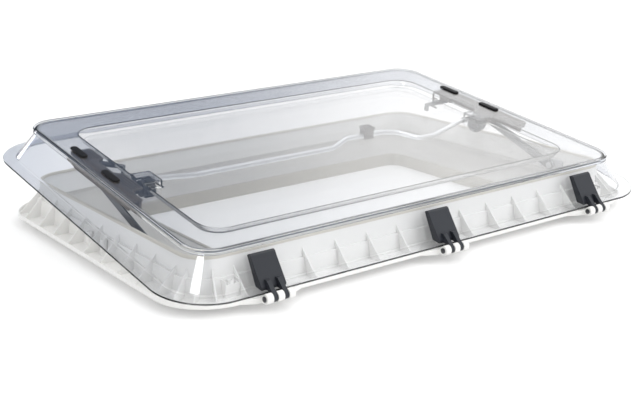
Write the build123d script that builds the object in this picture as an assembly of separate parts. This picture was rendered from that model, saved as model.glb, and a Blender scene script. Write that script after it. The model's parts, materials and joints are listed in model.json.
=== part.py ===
from build123d import *
import os
from math import cos, radians, sin

# A large caravan roof window: a white base frame for a 960 x 655 mm roof cut-out, and a clear
# double dome hinged on one long side. Millimetres. X runs along the long side, the hinges are at
# -Y, +Z is up, and z = 0 is the roof surface, the underside of the base flange.
# The dome's pieces are drawn closed, then turned about the hinge line to the ajar angle.
# Where a piece has a left and a right twin, the left one is drawn and the right one is mirrored.

# Base frame
FLANGE_L, FLANGE_W, FLANGE_R = 1065.0, 760.0, 100.0
RIM_H, RIM_T, FLANGE_T = 9.0, 3.0, 3.0
COLLAR_L, COLLAR_W, COLLAR_H, COLLAR_R = 971.0, 662.0, 66.0, 52.0
WALL_T, DRAFT = 5.0, 4.0
STEP_Z, STEP_OUT = 35.0, 5.5
SKIRT_L, SKIRT_W, SKIRT_R, SKIRT_DEPTH = 954.0, 649.0, 48.0, 16.0
CHANNEL_TOP, CHANNEL_WALL = 30.0, 3.5
GUSSET_T, GUSSET_TOP, GUSSET_KNEE = 2.6, 50.0, 34.0
GUSSET_PITCH, GUSSET_FIRST, GUSSET_COUNT, SIDE_GUSSETS = 68.0, 75.0, 6, 4
TOWER_R, TOWER_H, SCREW_R = 6.5, 32.0, 2.6
TOWER_X, TOWER_Y = 430.0, 346.0
SIDE_TOWER_X, SIDE_TOWER_Y = 501.0, 29.0
NOTCH_W, NOTCH_DEPTH, REAR_NOTCH_X, SIDE_NOTCH_Y = 5.0, 8.0, 433.0, -20.0
SEAL_H, SEAL_W = 5.4, 6.5

# Inner liner and light opening
LIGHT_L, LIGHT_W, LIGHT_R = 690.0, 370.0, 30.0
LIP_TOP, LIP_T, LIP_LAP, LIP_BEAD = 9.0, 3.0, 4.0, 2.2
LINER_FOOT, LINER_TOP, LINER_T = 9.5, 26.0, 3.0
COVE_IN, COVE_LOW, COVE_HIGH = 20.0, 13.5, 22.0

# Hinge line
HINGE_Y, HINGE_Z, HINGE_X = -405.1, 9.8, 375.7
KNUCKLE_R, KNUCKLE_W, KNUCKLE_PITCH = 9.0, 12.0, 21.0
PIN_R, PIN_BORE_R, EYE_R, EYE_W, EYE_BORE_R = 3.0, 3.02, 8.0, 8.4, 3.08
PIN_HEAD_R, PIN_CLIP_R = 5.0, 4.4
SWELL_Y, SWELL_IN, SWELL_OUT = -394.0, 34.0, 62.0
BLOCK_HALF, BLOCK_TOP, BLOCK_FRONT_Y = 24.0, 60.0, -389.5
BLOCK_CROWN = ((-6.0, 4.0), (-11.0, 2.5), (-15.0, -3.0))
BLOCK_SCREW_R, BLOCK_SCREW_DEPTH = 2.5, 11.0
FINGER_TOP, FINGER_BACK_Y, FINGER_FRONT_Y = 32.0, -374.0, -388.0
HINGE_SCREW_Z = (30.0, 42.0)
AJAR = 8.3

# Dome
DOME_L, DOME_W, DOME_R = 1101.2, 791.4, 99.0
DOME_Z, PANE_T = 12.3, 3.5
FOOT_L, FOOT_W, FOOT_R = 1052.0, 742.0, 76.0
HEAD_L, HEAD_W, HEAD_R = 979.0, 671.0, 50.0
LEDGE_OUT, LEDGE_Z, DOME_TOP = 4.5, 69.5, 78.5
EDGE_GAP, INNER_T = 4.0, 3.0
TRAY_L, TRAY_W, TRAY_R, TRAY_Z, TRAY_IN = 858.0, 536.0, 46.0, 58.0, 7.0
BAY_X, BAY_Y0, BAY_Y1 = 391.0, -38.0, 8.0
FOOT_Z = DOME_Z + PANE_T
PANE_Z = DOME_TOP - PANE_T
RIM_Z = PANE_Z - INNER_T

# Side brackets on the dome
BRACKET_X, BRACKET_IN = 476.0, 434.0
BRACKET_Y0, BRACKET_Y1, BRACKET_LOW, TOP_T = -100.0, 165.0, 47.0, 5.0
WEB_T, CHANNEL_W = 2.8, 14.0
RAIL_END, STOP_Y, SLOT_LOW, RAIL_LOW = 116.0, 108.0, 53.8, 50.6
RIB_T, RIB_PITCH = 2.2, 24.0
HOUSING_X, HOUSING_Y0, HOUSING_Y1, HOUSING_LOW = 453.5, 124.0, 159.0, 49.0
BUTTON_Y, BUTTON_Z, BUTTON_R, BUTTON_X = 151.0, 62.5, 5.5, 446.0
RACK_X, RACK_T, RACK_Y, RACK_SPINE, RACK_TOOTH = 434.5, 3.0, 162.0, 4.5, 12.0
RACK_LOW, RACK_PITCH, RACK_TEETH = 32.0, 10.5, 3
BRACKET_SCREW_X, BRACKET_SCREW_Y, BRACKET_SCREW_R = 466.0, (12.0, 145.0), 2.5
CAP_L, CAP_W, CAP_H = 58.0, 15.0, 3.0
UNDER = RIM_Z - TOP_T

# Star knobs, on bolts in the brackets
KNOB_Y, KNOB_Z, KNOB_R, KNOB_LOBES = -15.0, 52.0, 19.0, 8
KNOB_OUT, KNOB_IN, KNOB_COLLAR = 422.0, 396.0, 8.0
BOLT_R, BOLT_BORE_R, BOSS_R, BOSS_X = 4.0, 4.06, 6.5, 431.3
BOLT_OUT, BOLT_INTO_KNOB = 456.0, 8.0

# Support arms, pivoted on the frame and running in the brackets
ARM_X, ARM_T, ARM_W, ARM_TIP = 469.5, 3.0, 16.0, 12.0
ARM_Y, ARM_Z, ARM_LENGTH, ARM_ANGLE = -187.7, 36.0, 286.5, 19.56
ROLLER_R, ROLLER_W, ROLLER_PIN_R = 5.0, 4.0, 2.4
STUD_R, STUD_BORE_R, WASHER_R = 4.0, 4.05, 7.0

# Operating bow across the dome: its centre line from left to right, and the bends' radii
BOW_R, BOW_EYE_X, BOW_EYE_R, BOW_EYE_T = 4.75, 428.0, 8.5, 6.0
SOCKET_R, SOCKET_LENGTH = 6.5, 14.0
BOW_ROUTE = (
    (-425.0, 22.0, 50.0), (-376.0, 22.0, 50.0), (-268.0, 57.0, 24.4), (67.0, 57.0, 24.4),
    (104.0, 59.0, 40.0), (200.0, 59.5, 39.0), (240.0, 58.0, 33.0), (268.0, 15.0, 29.5),
    (308.0, 12.0, 31.0), (385.0, 14.0, 51.0), (425.0, 14.0, 51.0),
)
BOW_RADII = (24.0, 24.0, 24.0, 24.0, 24.0, 20.0, 18.0, 24.0, 24.0)
CLIP_X, CLIP_Y, CLIP_Z, CLIP_W, CLIP_GAP, CLIP_JAW = 158.0, 59.3, 39.4, 24.0, 5.6, 2.6

# Release levers under the rear of the brackets
LEVER_X, LEVER_Y, LEVER_Z, LEVER_T = 441.0, 131.0, 54.5, 5.0
LEVER_LENGTH, LEVER_W, LEVER_HUB_R, LEVER_DROP = 62.0, 11.0, 9.5, 16.0
LEVER_ANGLE_LEFT, LEVER_ANGLE_RIGHT = -49.0, 185.0
LEVER_SCREW_R, LEVER_BORE_R = 2.5, 2.56


def outline_at(length, width, radius, z):
    return Pos(0, 0, z) * RectangleRounded(length, width, radius)


def plate(length, width, radius, z0, z1):
    return extrude(outline_at(length, width, radius, z0), z1 - z0)


def taper(lower, upper):
    """A solid between two rounded rectangles, each (length, width, radius, z)."""
    return loft([outline_at(*lower), outline_at(*upper)], ruled=True)


def prism_x(points, x0, x1):
    """A (y, z) outline carried along X."""
    face = make_face(Polyline(*[(x0, y, z) for y, z in points], close=True))
    return extrude(face, x1 - x0, dir=(1, 0, 0))


def rod_x(y, z, radius, x0, x1):
    return Pos((x0 + x1) / 2, y, z) * (Rot(0, 90, 0) * Cylinder(radius, abs(x1 - x0)))


def rod_z(x, y, radius, z0, z1):
    return Pos(x, y, (z0 + z1) / 2) * Cylinder(radius, z1 - z0)


def block(x0, x1, y0, y1, z0, z1):
    return Pos((x0 + x1) / 2, (y0 + y1) / 2, (z0 + z1) / 2) * Box(abs(x1 - x0), y1 - y0, z1 - z0)


def ajar(part):
    """A piece of the closed dome, turned to the angle at which the window stands ajar."""
    return part.rotate(Axis((0, HINGE_Y, HINGE_Z), (1, 0, 0)), AJAR)


def right_of(part):
    return mirror(part, about=Plane.YZ)


# Base frame

def inside_at(z, gap=0.0):
    """The frame's inner face at height z, as a rounded rectangle: it leans outwards going up."""
    share = (z + SKIRT_DEPTH) / (COLLAR_H + SKIRT_DEPTH)
    length = SKIRT_L + (COLLAR_L - SKIRT_L) * share - 2 * WALL_T
    width = SKIRT_W + (COLLAR_W - SKIRT_W) * share - 2 * WALL_T
    radius = SKIRT_R + (COLLAR_R - SKIRT_R) * share - WALL_T
    return length - 2 * gap, width - 2 * gap, radius - gap, z


def gusset(start, end):
    """One triangular rib in its own plane: X outwards from the wall, Z up."""
    foot = FLANGE_T - 0.5
    outline = Polyline(
        (start, 0, foot), (start, 0, GUSSET_TOP), (start + RIM_T, 0, GUSSET_TOP),
        (start + GUSSET_KNEE, 0, RIM_H + 0.5), (end, 0, RIM_H - 2), (end, 0, foot), close=True)
    return Pos(0, -GUSSET_T / 2, 0) * extrude(make_face(outline), GUSSET_T, dir=(0, 1, 0))


def gussets():
    """Ribs round the collar: along the long walls, along the ends and across the corners."""
    ribs = []
    sunk = 1.5
    rim_in = RIM_T - 0.5
    long_rib = gusset(COLLAR_W / 2 - sunk, FLANGE_W / 2 - rim_in)
    steps = [GUSSET_FIRST + GUSSET_PITCH * k for k in range(GUSSET_COUNT)]
    for x in [-s for s in steps] + [0.0] + steps:
        ribs.append(Pos(x, 0, 0) * (Rot(0, 0, -90) * long_rib))
        ribs.append(Pos(x, 0, 0) * (Rot(0, 0, 90) * long_rib))
    side_rib = gusset(COLLAR_L / 2 - sunk, FLANGE_L / 2 - rim_in)
    for k in range(-SIDE_GUSSETS, SIDE_GUSSETS + 1):
        ribs.append(Pos(0, GUSSET_PITCH * k, 0) * side_rib)
        ribs.append(Pos(0, GUSSET_PITCH * k, 0) * (Rot(0, 0, 180) * side_rib))
    corner_x, corner_y = FLANGE_L / 2 - FLANGE_R, FLANGE_W / 2 - FLANGE_R
    corner_rib = gusset(COLLAR_R - 1, FLANGE_R - rim_in)
    for side_x, side_y, turn in ((1, 1, 0), (-1, 1, 90), (-1, -1, 180), (1, -1, 270)):
        for angle in (22.5, 45.0, 67.5):
            spot = Pos(side_x * corner_x, side_y * corner_y, 0) * Rot(0, 0, turn + angle)
            ribs.append(spot * corner_rib)
    return ribs


def tower_places():
    corners = [(a * TOWER_X, b * TOWER_Y) for a in (-1, 1) for b in (-1, 1)]
    ends = [(a * SIDE_TOWER_X, b * SIDE_TOWER_Y) for a in (-1, 1) for b in (-1, 1)]
    return corners + ends


def hinge_lugs():
    """Three knuckles at each hinge, on a swelling of the front flange."""
    lugs = []
    root = -FLANGE_W / 2 + 2
    for x in (-HINGE_X, 0.0, HINGE_X):
        swell = Polyline((x - SWELL_OUT, root, 0), (x - SWELL_IN, SWELL_Y, 0),
                         (x + SWELL_IN, SWELL_Y, 0), (x + SWELL_OUT, root, 0), close=True)
        lugs.append(extrude(make_face(swell), RIM_H, dir=(0, 0, 1)))
        for k in (-1, 0, 1):
            x0 = x + k * KNUCKLE_PITCH - KNUCKLE_W / 2
            lugs.append(rod_x(HINGE_Y, HINGE_Z, KNUCKLE_R, x0, x0 + KNUCKLE_W))
            lugs.append(block(x0, x0 + KNUCKLE_W, HINGE_Y, SWELL_Y + 1,
                              HINGE_Z - KNUCKLE_R, RIM_H))
    return lugs


def base_frame():
    frame = plate(FLANGE_L, FLANGE_W, FLANGE_R, 0, RIM_H)
    frame -= plate(FLANGE_L - 2 * RIM_T, FLANGE_W - 2 * RIM_T, FLANGE_R - RIM_T,
                   FLANGE_T, RIM_H + 1)
    step_l, step_w = COLLAR_L + DRAFT + 2 * STEP_OUT, COLLAR_W + DRAFT + 2 * STEP_OUT
    foot_l, foot_w = step_l + 2.5 * DRAFT, step_w + 2.5 * DRAFT
    frame += taper((foot_l, foot_w, COLLAR_R + 10, FLANGE_T - 0.5),
                   (step_l, step_w, COLLAR_R + 6, STEP_Z))
    frame += taper((COLLAR_L + DRAFT, COLLAR_W + DRAFT, COLLAR_R + 2, STEP_Z - 1),
                   (COLLAR_L, COLLAR_W, COLLAR_R, COLLAR_H))
    frame += plate(SKIRT_L, SKIRT_W, SKIRT_R, -SKIRT_DEPTH, 1)
    frame += gussets() + hinge_lugs()
    frame += [rod_z(x, y, TOWER_R, FLANGE_T - 0.5, TOWER_H) for x, y in tower_places()]
    wall = 2 * CHANNEL_WALL
    channel = taper((foot_l - wall, foot_w - wall, COLLAR_R + 6.5, -0.1),
                    (step_l - wall, step_w - wall, COLLAR_R + 2.5, CHANNEL_TOP))
    frame -= channel - taper((SKIRT_L, SKIRT_W, SKIRT_R, -1),
                             (COLLAR_L - 4, COLLAR_W - 4, SKIRT_R, CHANNEL_TOP + 1))
    frame -= taper(inside_at(-SKIRT_DEPTH), inside_at(COLLAR_H))
    frame -= [rod_z(x, y, SCREW_R, -1, TOWER_H + 1) for x, y in tower_places()]
    for x in (-HINGE_X, 0.0, HINGE_X):
        reach = KNUCKLE_PITCH + KNUCKLE_W
        frame -= rod_x(HINGE_Y, HINGE_Z, PIN_BORE_R, x - reach, x + reach)
    half, low, high = NOTCH_W / 2, COLLAR_H - NOTCH_DEPTH, COLLAR_H + 1
    for side in (-1, 1):
        x = side * REAR_NOTCH_X
        frame -= block(x - half, x + half, COLLAR_W / 2 - 20, COLLAR_W / 2 + 5, low, high)
        x = side * COLLAR_L / 2
        frame -= block(x - 15, x + 15, SIDE_NOTCH_Y - half, SIDE_NOTCH_Y + half, low, high)
    return frame


def collar_seal():
    seal = plate(COLLAR_L, COLLAR_W, COLLAR_R, COLLAR_H, COLLAR_H + SEAL_H)
    seal = fillet(seal.edges().group_by(Axis.Z)[-1], 2.4)
    inner = 2 * SEAL_W
    return seal - plate(COLLAR_L - inner, COLLAR_W - inner, COLLAR_R - SEAL_W,
                        COLLAR_H - 1, COLLAR_H + SEAL_H + 1)


def narrowed(outline, inwards, z):
    length, width, radius, _ = outline
    return length - 2 * inwards, width - 2 * inwards, radius - inwards / 3, z


def round_light(out):
    """The light opening's outline, moved outwards."""
    return LIGHT_L + 2 * out, LIGHT_W + 2 * out, LIGHT_R + out


def inner_liner():
    """The reveal: a band on the frame's wall, a cove and a slope down to the opening's lip."""
    seat = 0.05
    foot, top = inside_at(LINER_FOOT, seat), inside_at(LINER_TOP, seat)
    lip = round_light(LIP_T)
    cove_low = narrowed(foot, COVE_IN, COVE_LOW)
    cove_high = narrowed(inside_at(COVE_HIGH, seat), LINER_T, COVE_HIGH)
    liner = taper((*lip, LIP_TOP - LINER_T), foot)
    liner += taper(foot, top)
    liner -= taper((*lip, LIP_TOP), cove_low)
    liner -= taper(cove_low, cove_high)
    liner -= taper(cove_high, narrowed(top, LINER_T, LINER_TOP))
    return liner - plate(*round_light(LIP_T + seat), 0, LINER_TOP)


def liner_lip():
    """The trim round the light opening: an upright wall whose bead laps over the liner."""
    bead = plate(*round_light(LIP_T + LIP_LAP), LIP_TOP + 0.25, LIP_TOP + LIP_BEAD)
    bead = fillet(bead.edges().group_by(Axis.Z)[-1], 1.2)
    lip = plate(*round_light(LIP_T), -SKIRT_DEPTH, LIP_TOP + 1) + bead
    return lip - plate(*round_light(0), -SKIRT_DEPTH - 1, LINER_TOP)


def hinge_pin(x):
    """A headed pin through the three knuckles, with a clip at its far end."""
    reach = KNUCKLE_PITCH + KNUCKLE_W / 2 + 0.5
    pin = rod_x(HINGE_Y, HINGE_Z, PIN_R, x - reach, x + reach + 2)
    pin += rod_x(HINGE_Y, HINGE_Z, PIN_HEAD_R, x - reach - 3, x - reach)
    return pin + rod_x(HINGE_Y, HINGE_Z, PIN_CLIP_R, x + reach, x + reach + 1)


# Dome panes

def wall_y(z):
    """The outer face of the dome's front wall, as a positive half width."""
    share = (z - FOOT_Z) / (LEDGE_Z - FOOT_Z)
    return (FOOT_W + (HEAD_W - FOOT_W) * share) / 2


def wall_spot(x, z):
    """A plane on the front wall's outer face, its normal outwards."""
    rise, run = LEDGE_Z - FOOT_Z, (FOOT_W - HEAD_W) / 2
    return Plane(origin=(x, -wall_y(z), z), x_dir=(1, 0, 0), z_dir=(0, -rise, run))


def hinge_screw_spots():
    return [wall_spot(x, z) for x in (-HINGE_X, 0.0, HINGE_X) for z in HINGE_SCREW_Z]


def bracket_screw_spots():
    return [(side * BRACKET_SCREW_X, y) for side in (-1, 1) for y in BRACKET_SCREW_Y]


def outer_pane():
    pane = plate(DOME_L, DOME_W, DOME_R, DOME_Z, FOOT_Z)
    pane = fillet(pane.edges().group_by(Axis.Z)[-1], 1.2)
    pane += taper((FOOT_L, FOOT_W, FOOT_R, FOOT_Z), (HEAD_L, HEAD_W, HEAD_R, LEDGE_Z))
    ledge = plate(HEAD_L + 2 * LEDGE_OUT, HEAD_W + 2 * LEDGE_OUT, HEAD_R + 2, LEDGE_Z, DOME_TOP)
    ledge = fillet(ledge.edges().group_by(Axis.Z)[-1], 3.0)
    pane += fillet(ledge.edges().group_by(Axis.Z)[0], 1.5)
    wall = 2 * PANE_T
    head = (HEAD_L - wall, HEAD_W - wall, HEAD_R - PANE_T)
    foot = (FOOT_L - wall, FOOT_W - wall, FOOT_R - PANE_T)
    pane -= plate(*foot, DOME_Z, FOOT_Z) + taper((*foot, FOOT_Z), (*head, LEDGE_Z))
    pane -= plate(*head, LEDGE_Z, PANE_Z)
    pane -= [spot * Cylinder(SCREW_R, 4 * PANE_T) for spot in hinge_screw_spots()]
    return pane - [rod_z(x, y, SCREW_R, RIM_Z, DOME_TOP + 1) for x, y in bracket_screw_spots()]


def knob_bays(grow):
    """Room beside the tray for the star knobs, grown by the wall's thickness."""
    reach = TRAY_L / 2 + 5
    bays = []
    for side in (-1, 1):
        bays.append(block(side * (BAY_X - grow), side * reach, BAY_Y0 - grow, BAY_Y1 + grow,
                          TRAY_Z - 1, RIM_Z if grow == 0 else PANE_Z))
    return bays


def inner_pane():
    """A formed tray: its rim is bonded under the ledge, and its floor leaves an air gap."""
    rim = plate(HEAD_L - 2 * PANE_T - EDGE_GAP, HEAD_W - 2 * PANE_T - EDGE_GAP,
                HEAD_R - PANE_T - EDGE_GAP / 2, RIM_Z, PANE_Z)
    floor_l, floor_w, floor_r = TRAY_L - 2 * TRAY_IN, TRAY_W - 2 * TRAY_IN, TRAY_R - TRAY_IN
    tray = taper((floor_l, floor_w, floor_r, TRAY_Z), (TRAY_L, TRAY_W, TRAY_R, RIM_Z))
    tray -= knob_bays(0)
    inside = 2 * INNER_T
    hollow = taper((floor_l - inside, floor_w - inside, floor_r - INNER_T, TRAY_Z + INNER_T),
                   (TRAY_L - inside, TRAY_W - inside, TRAY_R - INNER_T, PANE_Z))
    pane = rim + tray - (hollow - knob_bays(INNER_T))
    return pane - [rod_z(x, y, SCREW_R, RIM_Z - 1, PANE_Z + 1) for x, y in bracket_screw_spots()]


def pane_edge_seal():
    """The bead between the inner pane's rim and the outer pane's wall."""
    fit = 0.1
    outer, inner = 2 * PANE_T + fit, 2 * PANE_T + EDGE_GAP - fit
    bead = plate(HEAD_L - outer, HEAD_W - outer, HEAD_R - PANE_T, RIM_Z + 0.2, PANE_Z)
    return bead - plate(HEAD_L - inner, HEAD_W - inner, HEAD_R - PANE_T - EDGE_GAP / 2,
                        RIM_Z - 1, PANE_Z + 1)


# Hinge blocks

def hinge_block(x):
    """A wedge-shaped block on the dome's wall, with two fingers down to the pin."""
    top_y = -wall_y(BLOCK_TOP)
    crown = [(top_y + y, BLOCK_TOP + z) for y, z in BLOCK_CROWN]
    body = prism_x([(-wall_y(FOOT_Z), FOOT_Z), (top_y, BLOCK_TOP), *crown,
                    (BLOCK_FRONT_Y, FOOT_Z + 5), (BLOCK_FRONT_Y, FOOT_Z)],
                   x - BLOCK_HALF, x + BLOCK_HALF)
    body = chamfer(body.faces().sort_by(Axis.X)[-1].edges().group_by(Axis.Y)[0], 1.0)
    body = chamfer(body.faces().sort_by(Axis.X)[0].edges().group_by(Axis.Y)[0], 1.0)
    eye_front, eye_under = EYE_R * 0.7, FOOT_Z + 0.1
    for side in (-1, 1):
        x0 = x + side * KNUCKLE_PITCH / 2 - EYE_W / 2
        web = [(HINGE_Y - eye_front, HINGE_Z + eye_front), (FINGER_FRONT_Y, FINGER_TOP),
               (FINGER_BACK_Y, FINGER_TOP), (FINGER_BACK_Y, eye_under), (HINGE_Y + 9.6, eye_under),
               (HINGE_Y + 7, HINGE_Z + 3.4), (HINGE_Y, HINGE_Z)]
        body += rod_x(HINGE_Y, HINGE_Z, EYE_R, x0, x0 + EYE_W) + prism_x(web, x0, x0 + EYE_W)
    notch = KNUCKLE_PITCH / 2 - EYE_W / 2 - 0.5
    body -= block(x - notch, x + notch, HINGE_Y + 5, HINGE_Y + 25, FOOT_Z - 1, FINGER_TOP - 5)
    body -= rod_x(HINGE_Y, HINGE_Z, EYE_BORE_R, x - BLOCK_HALF, x + BLOCK_HALF)
    bore = Pos(0, 0, BLOCK_SCREW_DEPTH / 2) * Cylinder(BLOCK_SCREW_R, BLOCK_SCREW_DEPTH)
    return body - [wall_spot(x, z) * bore for z in HINGE_SCREW_Z]


def hinge_screws():
    """Pan-head screws from inside the dome into the three blocks."""
    rise, run = LEDGE_Z - FOOT_Z, (FOOT_W - HEAD_W) / 2
    through = PANE_T * rise / (rise ** 2 + run ** 2) ** 0.5
    head_r, head_h, length = 4.6, 2.4, 13.0
    screws = []
    for spot in hinge_screw_spots():
        shank = spot * Pos(0, 0, length / 2 - through) * Cylinder(BLOCK_SCREW_R, length)
        screws.append(shank + spot * Pos(0, 0, -through - head_h / 2) * Cylinder(head_r, head_h))
    return screws


# Side brackets

def bracket_rib(x0, x1, y):
    """A tapering cross rib under the bracket's top."""
    outline = Polyline((x0, y, UNDER + 1), (x0, y, UNDER - 9), (x1, y, UNDER - 1.5),
                       (x1, y, UNDER + 1), close=True)
    return extrude(make_face(outline), RIB_T, dir=(0, 1, 0))


def catch_rack():
    """A toothed plate under the bracket's rear, in which the release lever's catch engages."""
    x0, x1 = -RACK_X, -RACK_X + RACK_T
    rack = block(x0, x1, RACK_Y - RACK_SPINE, RACK_Y, RACK_LOW, UNDER + 1)
    for k in range(RACK_TEETH):
        z = RACK_LOW + RACK_PITCH * k
        rack += block(x0, x1, RACK_Y - RACK_SPINE - RACK_TOOTH, RACK_Y - RACK_SPINE + 1, z, z + 4)
    return rack


def side_bracket():
    """The left bracket: a channelled rail under the ledge, open below for the support arm."""
    outer, inner = -BRACKET_X, -BRACKET_IN
    front, rear = BRACKET_Y0, BRACKET_Y1
    web = outer + CHANNEL_W
    low = RAIL_LOW
    middle = Pos((outer + inner) / 2, (front + rear) / 2, UNDER)
    body = extrude(middle * RectangleRounded(inner - outer, rear - front, 6), TOP_T)
    body += prism_x([(front + 4, UNDER), (front + 4, 60), (front + 22, BRACKET_LOW),
                     (rear - 22, BRACKET_LOW), (rear - 4, 60), (rear - 4, UNDER)],
                    outer, outer + WEB_T)
    body += block(web, web + WEB_T, front + 4, RAIL_END, low, UNDER)
    body += block(web - 4, web + 1, front + 4, RAIL_END, low, SLOT_LOW)
    body += block(outer + 1, web + 1, STOP_Y, RAIL_END, low, UNDER + 1)
    body += block(web - 4, web + 1, front + 4, front + 12, low, UNDER + 1)
    ribs = int((RAIL_END - front) / RIB_PITCH)
    body += [bracket_rib(web + 2, inner - 2, front + 16 + RIB_PITCH * k) for k in range(ribs)]
    body += rod_x(KNOB_Y, KNOB_Z, BOSS_R, web + 1, -BOSS_X)
    body += block(web + 1, inner - 1, KNOB_Y - BOSS_R, KNOB_Y + BOSS_R, KNOB_Z, UNDER + 1)
    body += rod_z(-LEVER_X, LEVER_Y, LEVER_HUB_R + 1, LEVER_Z + LEVER_T / 2 + 0.3, UNDER + 1)
    body += block(outer + 1, -HOUSING_X, HOUSING_Y0, HOUSING_Y1, HOUSING_LOW, UNDER + 1)
    body += rod_x(BUTTON_Y, BUTTON_Z, BUTTON_R, -HOUSING_X - 1, -BUTTON_X)
    body += catch_rack()
    body -= rod_x(KNOB_Y, KNOB_Z, BOLT_R, -BOLT_OUT, -BOSS_X + 1)
    body -= rod_z(-LEVER_X, LEVER_Y, LEVER_SCREW_R, LEVER_Z, UNDER)
    return body - [rod_z(-BRACKET_SCREW_X, y, BRACKET_SCREW_R, UNDER - 1, RIM_Z + 1)
                   for y in BRACKET_SCREW_Y]


def bracket_screws(side):
    """Two screws from the top of the ledge into the bracket, under the oval caps."""
    head_r, head_h = 4.5, 1.8
    screws = []
    for y in BRACKET_SCREW_Y:
        x = side * BRACKET_SCREW_X
        shank = rod_z(x, y, BRACKET_SCREW_R, UNDER + 0.2, DOME_TOP)
        screws.append(shank + rod_z(x, y, head_r, DOME_TOP, DOME_TOP + head_h))
    return screws


def oval_caps(side):
    caps = []
    for y in BRACKET_SCREW_Y:
        x = side * BRACKET_SCREW_X
        cap = extrude(Pos(x, y, DOME_TOP) * (Rot(0, 0, 90) * SlotOverall(CAP_L, CAP_W)), CAP_H)
        cap = fillet(cap.edges().group_by(Axis.Z)[-1], 1.6)
        caps.append(cap - rod_z(x, y, 4.8, DOME_TOP - 1, DOME_TOP + 2))
    return caps


def knob_bolt():
    return rod_x(KNOB_Y, KNOB_Z, BOLT_R, -BOLT_OUT, -KNOB_IN - BOLT_INTO_KNOB)


def star_knob():
    """A lobed clamp knob with a round collar towards the bracket."""
    face = Plane(origin=(-KNOB_OUT + KNOB_COLLAR, KNOB_Y, KNOB_Z), x_dir=(0, 1, 0),
                 z_dir=(1, 0, 0))
    scallop = KNOB_R * 0.3
    star = Circle(KNOB_R)
    for k in range(KNOB_LOBES):
        turn = radians(360 / KNOB_LOBES * k)
        star -= Pos((KNOB_R + 2) * cos(turn), (KNOB_R + 2) * sin(turn)) * Circle(scallop)
    star = fillet(star.vertices(), 1.2)
    knob = extrude(face * star, KNOB_OUT - KNOB_IN - KNOB_COLLAR)
    knob += rod_x(KNOB_Y, KNOB_Z, KNOB_R - 3.5, -KNOB_OUT, -KNOB_OUT + KNOB_COLLAR + 1)
    return knob - rod_x(KNOB_Y, KNOB_Z, BOLT_BORE_R, -KNOB_OUT - 1,
                        -KNOB_IN - BOLT_INTO_KNOB + 0.5)


# Support arms

def arm_point(along, across=0.0):
    """A (y, z) point on the arm: its distance from the pivot, and to its upper side."""
    turn = radians(ARM_ANGLE)
    return (ARM_Y + along * cos(turn) - across * sin(turn),
            ARM_Z + along * sin(turn) + across * cos(turn))


def support_arm():
    """The left arm: a flat bar from the frame's side wall up to its roller pin."""
    x0, x1 = -ARM_X - ARM_T / 2, -ARM_X + ARM_T / 2
    half, tip, taper_from = ARM_W / 2, ARM_TIP / 2, ARM_LENGTH - 40
    foot = half + 1
    bar = prism_x([arm_point(0, -foot), arm_point(taper_from, -half), arm_point(ARM_LENGTH, -tip),
                   arm_point(ARM_LENGTH, tip), arm_point(taper_from, half), arm_point(0, foot)],
                  x0, x1)
    bar += rod_x(ARM_Y, ARM_Z, foot, x0, x1) + rod_x(*arm_point(ARM_LENGTH), tip, x0, x1)
    bar -= rod_x(ARM_Y, ARM_Z, STUD_BORE_R, x0 - 1, x1 + 1)
    return bar + rod_x(*arm_point(ARM_LENGTH), ROLLER_PIN_R, x1 - 0.5, x1 + ROLLER_W + 1.4)


def arm_roller():
    x0 = -ARM_X + ARM_T / 2 + 1.4
    roller = rod_x(*arm_point(ARM_LENGTH), ROLLER_R, x0, x0 + ROLLER_W)
    return roller - rod_x(*arm_point(ARM_LENGTH), ROLLER_PIN_R, x0 - 1, x0 + ROLLER_W + 1)


def arm_pivot():
    """A plate seated on the frame's side wall, with the arm's stud and its washer."""
    arm_out, arm_in = -ARM_X - ARM_T / 2, -ARM_X + ARM_T / 2
    wall = -COLLAR_L / 2
    face = Plane(origin=(wall, ARM_Y, ARM_Z + 3), x_dir=(0, 1, 0), z_dir=(1, 0, 0))
    pivot = extrude(face * RectangleRounded(64, 21, 5), arm_out - 2.4 - wall)
    pivot += rod_x(ARM_Y, ARM_Z, WASHER_R + 1, wall, arm_out - 0.3)
    pivot += rod_x(ARM_Y, ARM_Z, STUD_R, wall, arm_in + 1)
    pivot += rod_x(ARM_Y, ARM_Z, WASHER_R, arm_in + 0.4, arm_in + 2.4)
    return pivot & taper(inside_at(-SKIRT_DEPTH, 0.02), inside_at(COLLAR_H, 0.02))


# Operating bow

def operating_bow():
    """One bent tube across the dome."""
    route = FilletPolyline(*BOW_ROUTE, radius=list(BOW_RADII))
    return sweep(Plane(origin=route @ 0, z_dir=route % 0) * Circle(BOW_R), path=route)


def bow_end(side):
    """A moulded end for the bow: an eye on the knob's bolt, and a socket for the tube."""
    tube_x, y, z = BOW_ROUTE[0] if side < 0 else BOW_ROUTE[-1]
    outer = side * (BOW_EYE_X + BOW_EYE_T / 2)
    end = rod_x(KNOB_Y, KNOB_Z, BOW_EYE_R, tube_x, outer) + rod_x(y, z, SOCKET_R, tube_x, outer)
    lean = 0.5 * (BOW_EYE_R - SOCKET_R)
    end += prism_x([(KNOB_Y, KNOB_Z - BOW_EYE_R + lean), (y, z - SOCKET_R), (y, z + SOCKET_R),
                    (KNOB_Y, KNOB_Z + BOW_EYE_R - lean)], tube_x, outer)
    end += rod_x(y, z, SOCKET_R, tube_x - side * SOCKET_LENGTH, tube_x)
    end -= rod_x(y, z, BOW_R + 0.1, tube_x - side * (SOCKET_LENGTH + 1), tube_x)
    return end - rod_x(KNOB_Y, KNOB_Z, BOLT_BORE_R, tube_x - side, outer + side)


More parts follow.
